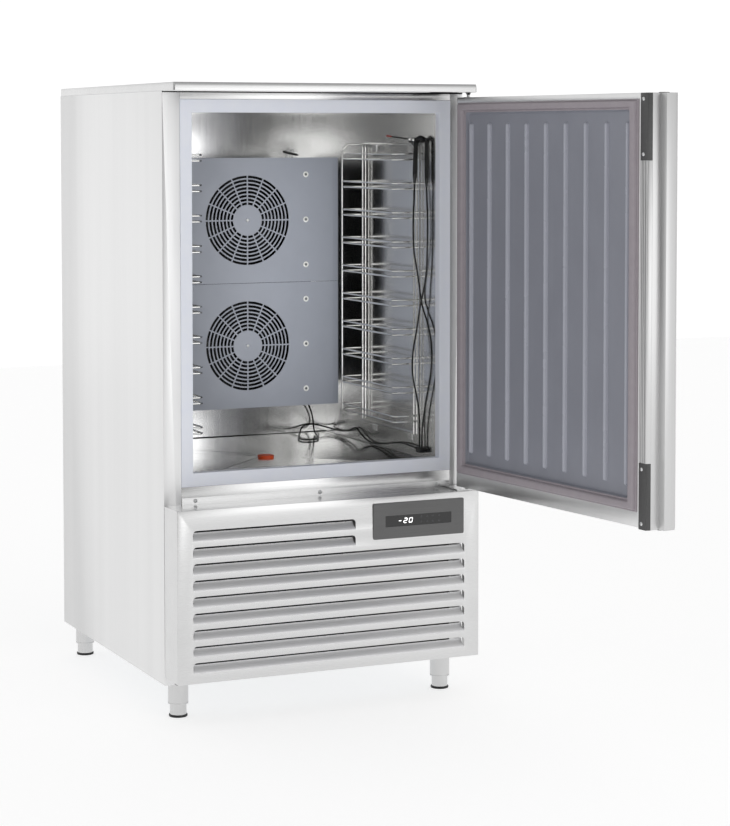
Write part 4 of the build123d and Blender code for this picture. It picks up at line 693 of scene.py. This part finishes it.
# ---- controls ----
controls = {
    "bezel": ((109.0, 357.0), (416.5, 505.5)), "proud": 3.0, "corner": 4.0, "windowCorner": 0.8, "glassY": -494.6,
    "digitHeight": 11.0, "digitWidth": 8.2, "stroke": 1.9, "slant": 0.16, "middleZ": 459.3, "segmentGap": 0.35,
    "printed": 0.1, "lit": 0.15, "edge": 0.5,
    "digits": [("minus", 177.5), ("2", 192.0), ("0", 206.5)],
    "keyXs": (239.5, 256.0, 271.0, 288.6), "keyZs": (466.0, 453.0), "keyRadius": 2.0, "keyLine": 0.5,
}
bezelMesh = plate(roundedLoop(*controls["bezel"], controls["corner"]),
                  [roundedLoop(*cover["window"], controls["windowCorner"], 3)], controls["proud"],
                  controls["edge"])
bezelMesh.transform(Matrix.Translation((0, cover["front"] * mm, 0)))
newPiece("bezelPlate", bezelMesh, "darkBrushedBezel", "cabinet", ("control_bezel",))
segments = {"a": (0, 1, "h"), "g": (0, 0.5, "h"), "d": (0, 0, "h"), "f": (0, 0.75, "v"), "b": (1, 0.75, "v"),
            "e": (0, 0.25, "v"), "c": (1, 0.25, "v")}
shapes = {"minus": "g", "2": "abged", "0": "abcdef"}
lit = []
w, t, tall, gap = controls["digitWidth"], controls["stroke"] / 2, controls["digitHeight"], controls["segmentGap"]
for sign, startX in controls["digits"]:
    for key in shapes[sign]:
        column, level, lie = segments[key]
        z = controls["middleZ"] - tall / 2 + tall * level
        x = startX + w * column
        half = tall / 4
        if lie == "h":
            ring = [(x + gap, z), (x + gap + t, z + t), (x + w - gap - t, z + t), (x + w - gap, z),
                    (x + w - gap - t, z - t), (x + gap + t, z - t)]
        else:
            ring = [(x, z + half - gap), (x + t, z + half - gap - t), (x + t, z - half + gap + t),
                    (x, z - half + gap), (x - t, z - half + gap + t), (x - t, z + half - gap - t)]
        leaning = [(px + controls["slant"] * (pz - controls["middleZ"]), pz) for px, pz in ring]
        lit.append(stitched([[(px, controls["glassY"] + depth, pz) for px, pz in leaning]
                             for depth in (0.0, -controls["lit"])]))
shellPiece("displayDigits", joined(lit), "ledDigitWhite", "cabinet", smooth=False)
marks = []
for x in controls["keyXs"]:
    for z in controls["keyZs"]:
        wide, narrow = [arc(x, z, radius, 0, 342, 19)
                        for radius in (controls["keyRadius"], controls["keyRadius"] - controls["keyLine"])]
        loops = [[(px, controls["glassY"] + depth, pz) for px, pz in ring]
                 for ring, depth in ((wide, 0.0), (wide, -controls["printed"]), (narrow, -controls["printed"]),
                                     (narrow, 0.0))]
        marks.append(stitched(loops + loops[:1], closedEnds=False))
shellPiece("touchKeyMarks", joined(marks), "greyKeyPrint", "cabinet", smooth=False)
print("stage: controls")

# ---- fan panels ----
fans = {
    "middle": 5.0, "halfWidth": 263.0, "front": 68.0, "sheet": 2.0, "bend": 15.0, "setBack": 4.0,
    "low": 686.0, "high": 1347.5, "seam": 1016.75, "seamGap": 0.8, "heights": (1182.75, 850.75),
    "firstRing": 44.1, "ringPitch": 10.07, "rings": 8, "slot": 6.3, "spokes": 16, "spokeWidth": 3.6,
    "screwOffset": 167.0, "screwPitch": 120.0, "bendWidth": 2.5, "edge": 0.25,
}


def ringSlots(x, z):
    slots = []
    for k in range(fans["rings"]):
        middle = fans["firstRing"] + k * fans["ringPitch"]
        inner, outer = middle - fans["slot"] / 2, middle + fans["slot"] / 2
        for spoke in range(fans["spokes"]):
            a = 2 * pi * spoke / fans["spokes"]
            b = 2 * pi * (spoke + 1) / fans["spokes"]
            steps = 4 + k // 2
            ring = []
            for radius, order in ((inner, range(steps + 1)), (outer, range(steps, -1, -1))):
                trim = asin(fans["spokeWidth"] / 2 / radius)
                for i in order:
                    turn = a + trim + (b - a - 2 * trim) * i / steps
                    ring.append((x + radius * cos(turn), z + radius * sin(turn)))
            slots.append(ring)
    return slots


left, right = fans["middle"] - fans["halfWidth"], fans["middle"] + fans["halfWidth"]
seamLow, seamHigh = fans["seam"] - fans["seamGap"] / 2, fans["seam"] + fans["seamGap"] / 2
for node, heights, z in (("fan_panel_upper", (seamHigh, fans["high"]), fans["heights"][0]),
                         ("fan_panel_lower", (fans["low"], seamLow), fans["heights"][1])):
    mesh = plate(rectangle((left, right), heights), ringSlots(fans["middle"], z), fans["sheet"], fans["edge"])
    work = bmesh.new()
    work.from_mesh(mesh)
    for side in (-1, 1):
        for step in (0, fans["bendWidth"]):
            x = (fans["middle"] + side * (fans["halfWidth"] - fans["bend"] - step)) * mm
            bmesh.ops.bisect_plane(work, geom=work.verts[:] + work.edges[:] + work.faces[:],
                                   plane_co=(x, 0, 0), plane_no=(1, 0, 0), dist=1e-7)
    for vertex in work.verts:
        past = abs(vertex.co.x / mm - fans["middle"]) - (fans["halfWidth"] - fans["bend"])
        vertex.co.y += (fans["front"] + fans["sheet"] + max(0.0, past) * fans["setBack"] / fans["bend"]) * mm
    work.to_mesh(mesh)
    work.free()
    newPiece(node + "Sheet", mesh, "powderCoatBlueGrey", "cabinet", (node,))
grilleScrews = [(fans["middle"], fans["front"], z) for z in fans["heights"]]
panelScrews = [(fans["middle"] + side * fans["screwOffset"], fans["front"], z + step * fans["screwPitch"])
               for z in fans["heights"] for side in (-1, 1) for step in (-1, 0, 1)]
washerProfile = [(3.6, 0.0), (7.6, 0.0), (7.9, 0.5), (7.4, 1.3), (5.0, 1.9), (3.6, 1.3)]
washers = joined([turned(washerProfile + washerProfile[:1], place, (0, -1, 0)) for place in panelScrews])
shellPiece("panelWashers", washers, "offWhiteNylon", "cabinet")
coverScrews = [(x, cover["screwY"], cover["screwZ"]) for x in cover["screwXs"]]
for name, places, size, finish, standsFor in (
        ("panelScrewHeads", panelScrews, (3.6, 3.0, 1.2), "stainlessScrewDull", ("panel_screws",)),
        ("grilleScrewHeads", grilleScrews, (4.5, 2.5, 1.0), "zincPlatedScrew", ()),
        ("coverScrewHeads", coverScrews, (5.0, 3.0, 1.1), "zincPlatedScrew", ("cover_screws",))):
    screwHeads(name, places, size, (90, 0), finish, "cabinet", standsFor)
print("stage: fan panels")

# ---- worktop: a sheet turned down all round, its upper edge leaning in ----
lowest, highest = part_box("worktop")
topX, topY, topZ = [(lowest[i] / mm, highest[i] / mm) for i in range(3)]
worktop = {
    # (inset, 0 for the lower edge or 1 for the upper, height from there)
    "profile": [(1.4, 1, -1.6), (1.4, 0, 0.4), (0.5, 0, 0.0), (0.0, 0, 0.7), (0.0, 1, -8.4), (0.15, 1, -7.6),
                (0.8, 1, -1.4), (1.6, 1, -0.4), (3.4, 1, 0.0)],
    "corner": 5.0, "cornerShare": 0.6, "hemX": (2.0, -130.0), "hemY": (1.0, 78.0), "hemZ": (-0.8, -0.05),
}
loops = []
for inset, edge, rise in worktop["profile"]:
    ring = roundedLoop((topX[0] + inset, topX[1] - inset), (topY[0] + inset, topY[1] - inset),
                       worktop["corner"] - inset * worktop["cornerShare"], 8)
    loops.append([(x, y, topZ[edge] + rise) for x, y in ring])
shellPiece("worktopSheet", stitched(loops), "stainlessBrushedAcross", "cabinet", ("worktop",))
# a thin strip under the front edge, which closes a black gap
hem = boxShell((topX[0] + worktop["hemX"][0], topX[1] + worktop["hemX"][1]),
               [topY[0] + y for y in worktop["hemY"]], [topZ[0] + z for z in worktop["hemZ"]])
shellPiece("worktopHem", hem, "stainlessBrushedAcross", "cabinet", smooth=False)
print("stage: worktop")

# ---- wire racks ----
rack = {
    "wire": 2.5, "bend": 9.0, "loopBend": 16.0, "runner": 265.0, "inner": 323.5, "outer": 332.0,
    "front": -284.0, "length": 324.0, "firstLevel": 688.0, "pitch": 74.5, "levels": 10, "pairGap": 14.5,
    "top": 1384.0, "bottom": 640.0, "tuck": 5.1, "loopX": 267.0, "loopY": 43.24, "loopTop": 1382.0,
    "loopLow": 657.0, "mirrorX": 5.0,
}


def rackWires(node, part, runs, bend, count=1, standsFor=()):
    # the runs are drawn for the right rack, and the left one mirrors them
    if node == "rack_left":
        runs = [[(2 * rack["mirrorX"] - x, y, z) for x, y, z in run] for run in runs]
    baked(node + part, runMesh(node + part, runs), wires, "electropolishedWire", {
        "Wire Radius": rack["wire"] * mm, "Bend Radius": bend * mm, "Count": count,
        "Step": (0, 0, rack["pitch"] * mm)}, node, standsFor)


near, rear = rack["front"], rack["front"] + rack["length"]
tail, wire, inner = rack["outer"] + rack["wire"], rack["wire"], rack["inner"]
runners = []
for z in (rack["firstLevel"], rack["firstLevel"] - rack["pairGap"]):
    runners.append([(tail, near, z), (rack["runner"], near, z), (rack["runner"], rear, z), (tail, rear, z)])
front, back = near + rack["tuck"], rear - rack["tuck"]
reach = wire + 0.1
rackFrames = []
for x in (inner, rack["outer"]):
    rackFrames.append([(x, front, rack["bottom"]), (x, front, rack["top"]), (x, back, rack["top"]),
                       (x, back, rack["bottom"])])
    rackFrames.append([(x, front + reach, rack["bottom"] + wire), (x, back - reach, rack["bottom"] + wire)])
stop = rack["loopY"]
stopLoop = [[(inner, stop, rack["loopTop"]), (rack["loopX"], stop, rack["loopTop"]),
             (rack["loopX"], stop, rack["loopLow"]), (inner, stop, rack["loopLow"])]]
for node in ("rack_right", "rack_left"):
    rackWires(node, "Runners", runners, rack["bend"], rack["levels"], (node,))
    rackWires(node, "Frames", rackFrames, rack["bend"])
    rackWires(node, "StopLoop", stopLoop, rack["loopBend"])
print("stage: racks")

# ---- core probe, air sensor, liner's folds, foot pads and floor creases ----
probe = {
    "tip": (237.0, -296.0, 1405.0), "root": (325.0, -296.0, 1393.3), "rod": 1.7, "sleeve": 2.3,
    "sleeveEnd": 0.16, "rodEnd": 0.80, "ferrule": 0.70,
}
tip, root = Vector(probe["tip"]), Vector(probe["root"])
along = (root - tip).normalized()
span = (root - tip).length
r, low, high = probe["rod"], span * probe["sleeveEnd"] - 1.0, span * probe["rodEnd"]
rodProfile = [(0.3, low), (r, low), (r, high), (0.3, high)]
shellPiece("probeRod", turned(rodProfile, tip, along, 20), "blackPvcGlossy", "rack_right", ("probe_needle",))
r = probe["sleeve"]
sleeveProfile = [(0.2, 0.0), (r * 0.6, 0.5), (r * 0.95, 2.0), (r, 4.0), (r, low),
                 (r * 0.8, span * probe["sleeveEnd"])]
shellPiece("probeTipSleeve", turned(sleeveProfile, tip, along, 20), "redHeatShrink", "rack_right")
start = span * probe["ferrule"]
ferruleProfile = [(1.7, start), (3.4, start + 0.8), (4.1, start + 3.0), (4.0, start + 6.5), (3.2, start + 8.6),
                  (2.6, start + 10.0), (2.7, start + 11.5), (3.9, start + 13.5), (4.2, start + 17.0),
                  (4.1, span - 1.5), (3.2, span - 0.4)]
shellPiece("probeFerrule", turned(ferruleProfile, tip, along, 28), "electropolishedWire", "rack_right")

lowest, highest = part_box("sensor_clip")
sensorX, sensorY = (lowest[0] + highest[0]) / 2 / mm, (lowest[1] + highest[1]) / 2 / mm
sensorLow, sensorHigh = lowest[2] / mm, highest[2] / mm
sensor = {
    "bulb": 3.2, "length": 46.0, "start": (-26.0, -4.0, 16.0), "axis": (1.0, 0.0, -0.22),
    "clips": (-11.0, 1.0), "clipHalf": 2.5, "sheet": 1.0,
}
bulbStart = Vector((sensorX, sensorY, sensorLow)) + Vector(sensor["start"])
r, length, sheet = sensor["bulb"], sensor["length"], sensor["sheet"]
bulbProfile = [(0.3, 0.0), (r * 0.6, 0.6), (r * 0.9, 1.8), (r, 3.6), (r, length - 6.0), (r * 0.8, length - 4.0),
               (r * 0.5, length - 2.0), (r * 0.45, length)]
shellPiece("airSensorBulb", turned(bulbProfile, bulbStart, sensor["axis"], 20), "blackRubber", "cabinet")
shells = []
for shift in sensor["clips"]:
    x = (sensorX + shift - sensor["clipHalf"], sensorX + shift + sensor["clipHalf"])
    back, front, top = sensorY + 1.0, sensorY - 9.0, sensorHigh - 1.2
    shells.append(boxShell(x, (back, back + sheet), (sensorLow + 1.0, sensorHigh - 1.0)))
    shells.append(boxShell(x, (front, back), (top - sheet, top)))
    shells.append(boxShell(x, (front - sheet, front), (sensorHigh - 8.0, top)))
shellPiece("airSensorClips", joined(shells), "electropolishedWire", "cabinet", ("sensor_clip",))

# folded foot of the liner: concave, so that it draws a thin line
cove = {"right": 336.5, "back": 308.0, "left": -326.5, "low": 580.0, "front": -395.0, "radius": 2.6, "off": 0.1}


def coveStrip(start, end, first, second=(0, 0, 1)):
    # a bar along start-end whose free side is a concave quarter circle between the directions first and second
    first, second = Vector(first), Vector(second)
    loops = []
    for place in (Vector(start), Vector(end)):
        origin = place + (first + second) * cove["off"]
        centre = origin + (first + second) * cove["radius"]
        bow = [centre - first * x - second * z for z, x in arc(0, 0, cove["radius"], 0, 90, 12)]
        loops.append([tuple(p) for p in [origin] + bow])
    return stitched(loops)


corner = (cove["right"], cove["back"], cove["low"])
coves = [coveStrip((cove["left"], cove["back"], cove["low"]), corner, (0, -1, 0)),
         coveStrip((cove["right"], cove["front"], cove["low"]), corner, (-1, 0, 0))]
shellPiece("linerCoves", joined(coves), "stainlessBrightAnnealed", "cabinet")

padProfile = [(18.0, 0.4), (22.2, 0.4), (22.8, 1.4), (22.8, 5.0), (22.2, 6.0), (18.0, 6.0)]
for foot in feet:
    lowest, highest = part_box(foot)
    middle = [(lowest[i] + highest[i]) / 2 / mm for i in (0, 1)]
    shellPiece(foot + "Pad", turned(padProfile + padProfile[:1], (*middle, 0.0)), "blackRubber", foot)

# creases in the liner's floor, from the drain towards the corners: low ridges whose dark grey is painted shade in
# the folds
creases = {
    "drain": (-3.0, -74.0), "floor": 580.02, "ends": [(-318.0, 286.0), (-318.0, -392.0)], "half": 1.4,
    "rise": 0.35, "start": 30.0,
}
shells = []
for end in creases["ends"]:
    drain = Vector(creases["drain"])
    along = (Vector(end) - drain).normalized()
    x, y = Vector((-along.y, along.x)) * creases["half"]
    low, high = creases["floor"], creases["floor"] + creases["rise"]
    shells.append(stitched([[(place.x + x, place.y + y, low), (*place, high), (place.x - x, place.y - y, low)]
                            for place in (drain + along * creases["start"], Vector(end))]))
shellPiece("floorCreases", joined(shells), "stainlessPaintedCreaseShade", "cabinet", smooth=False)
print("stage: probe, sensor, creases")

# ---- door ----
door = {
    "cornerX": 370.0, "plane": -412.0, "hinge": (387.0, -457.5), "angle": 97.3,
    "gasketU": (7.0, 712.0), "gasketZ": (567.0, 1485.5),
    "gasketSide": 32.0, "gasketLow": 27.0, "gasketTop": 23.5, "gasketCorner": (1.5, 3.0),
    "recess": 8.0,
    "ribs": 9, "ribStart": 14.5, "ribWidth": 14.0, "ribHeight": 6.8, "ribGap": 26.0,
    "capScrewU": 727.0, "capScrewZs": (543.0, 665.0, 1363.5, 1485.5),
}


def onDoor(u, v, z):
    x = door["cornerX"] - u - door["hinge"][0]
    y = door["plane"] - v - door["hinge"][1]
    c, s = cos(radians(door["angle"])), sin(radians(door["angle"]))
    return (door["hinge"][0] + c * x - s * y, door["hinge"][1] + s * x + c * y, z)


def gasketFrame(share):
    # the rectangle at a share of the gasket's width, 0 at its outer edge
    return ((door["gasketU"][0] + door["gasketSide"] * share, door["gasketU"][1] - door["gasketSide"] * share),
            (door["gasketZ"][0] + door["gasketLow"] * share, door["gasketZ"][1] - door["gasketTop"] * share))


def gasketLoop(share, height):
    radius = door["gasketCorner"][0] + door["gasketCorner"][1] * share
    return [onDoor(a, height, b) for a, b in roundedLoop(*gasketFrame(share), radius, 4)]


gasketProfile = [(0.0, 0.0), (0.01, -2.2), (0.05, -3.0), (0.10, -3.0), (0.12, -2.4), (0.14, -3.4),
                 (0.17, -7.6), (0.22, -9.2), (0.30, -9.7), (0.62, -9.7), (0.72, -9.1), (0.78, -7.4),
                 (0.81, -3.6), (0.83, -2.2), (0.86, -2.9), (0.95, -3.0), (0.99, -2.2), (1.0, 0.0)]
loops = [gasketLoop(share, height) for share, height in gasketProfile]
shellPiece("gasketBellows", stitched(loops + loops[:1], closedEnds=False), "gasketPvcMauve", "door",
           ("door_gasket",))

recessU, recessZ = gasketFrame(1)


def panLoop(grow, depth, radius):
    ring = roundedLoop((recessU[0] - grow, recessU[1] + grow), (recessZ[0] - grow, recessZ[1] + grow), radius, 6)
    return [onDoor(a, depth, b) for a, b in ring]


deep = door["recess"]
panProfile = [(2.0, 0.3, 8.0), (0.0, 0.3, 6.5), (-0.8, 0.8, 6.0), (-1.2, 2.0, 6.0), (-2.0, deep - 2.6, 5.6),
              (-2.8, deep - 0.9, 5.2), (-4.6, deep, 5.0), (-7.0, deep, 4.6), (-7.0, deep + 2.0, 4.6),
              (2.0, deep + 2.0, 8.0), (2.0, 0.3, 8.0)]
panRim = meshFrom("doorPan", *stitched([panLoop(*row) for row in panProfile], closedEnds=False))
panFloor = meshFrom("doorPanFloor", *stitched([panLoop(-7.0, depth, 4.6) for depth in (deep, deep + 2.0)]))
panMesh = merged("doorPan", [panRim, panFloor])


def ribShell():
    low, high = recessZ[0] + door["ribGap"], recessZ[1] - door["ribGap"]
    middle = recessU[0] + door["ribStart"]
    half = door["ribWidth"] / 2
    lines = []
    for share, rise in ((1.0, -0.02), (0.94, 0.06), (0.88, 0.22), (0.80, 0.42), (0.70, 0.60), (0.58, 0.76),
                        (0.44, 0.88), (0.28, 0.96), (0.10, 1.0)):
        r = half * share
        ring = arc(middle, high - half, r, 0, 180, 12) + arc(middle, low + half, r, 180, 360, 12)
        lines.append([onDoor(a, deep - rise * door["ribHeight"], b) for a, b in ring])
    return stitched(lines)


ribPitch = (recessU[1] - recessU[0] - 2 * door["ribStart"]) / (door["ribs"] - 1)
ribStep = Vector(onDoor(ribPitch, 0, 0)) - Vector(onDoor(0, 0, 0))
# the ribs take the paler finish: painted highlight on the ribs
baked("doorRibs", meshFrom("doorRibs", *ribShell()), rows, "formedPolystyreneRibHighlight",
      {"Count": door["ribs"], "Step": tuple(ribStep * mm)}, "door")
newPiece("doorPan", panMesh, "formedPolystyreneGrey", "door", ("door_inner_panel",))
for node, finish, width in (("door_skin", "stainlessBrushedUpright", 0.5),
                            ("door_end_caps", "mouldedAbsDarkGrey", 0.6),
                            ("door_edge_profile", "satinAnodisedAluminium", 0.4)):
    softened(node, finish, "door", width)
capHeads = [onDoor(door["capScrewU"], 0.0, z) for z in door["capScrewZs"]]
screwHeads("capScrewHeads", capHeads, (4.5, 2.0, 1.0), (-90, door["angle"]), "zincPlatedScrew", "door",
           ("door_cap_screws",))
print("stage: door")

# ---- floor ----
floorMesh = bpy.data.meshes.new("studioFloor")
reach = studio["floorSize"] / 2
corners = rectangle((-reach, reach), (-reach, reach))
floorMesh.from_pydata([(x, y, 0) for x, y in corners], [], [[0, 1, 2, 3]])
floor = linked("studioFloor", floorMesh)
# white paper with a glow of its own: the ground goes over into the sky
floorMesh.materials.append(surface("litWhitePaper", studio["floor"], 0.0, 0.9, (300, 300, 300), 0.02,
                                   glow=studio["floorGlow"]))
print("stage: floor")
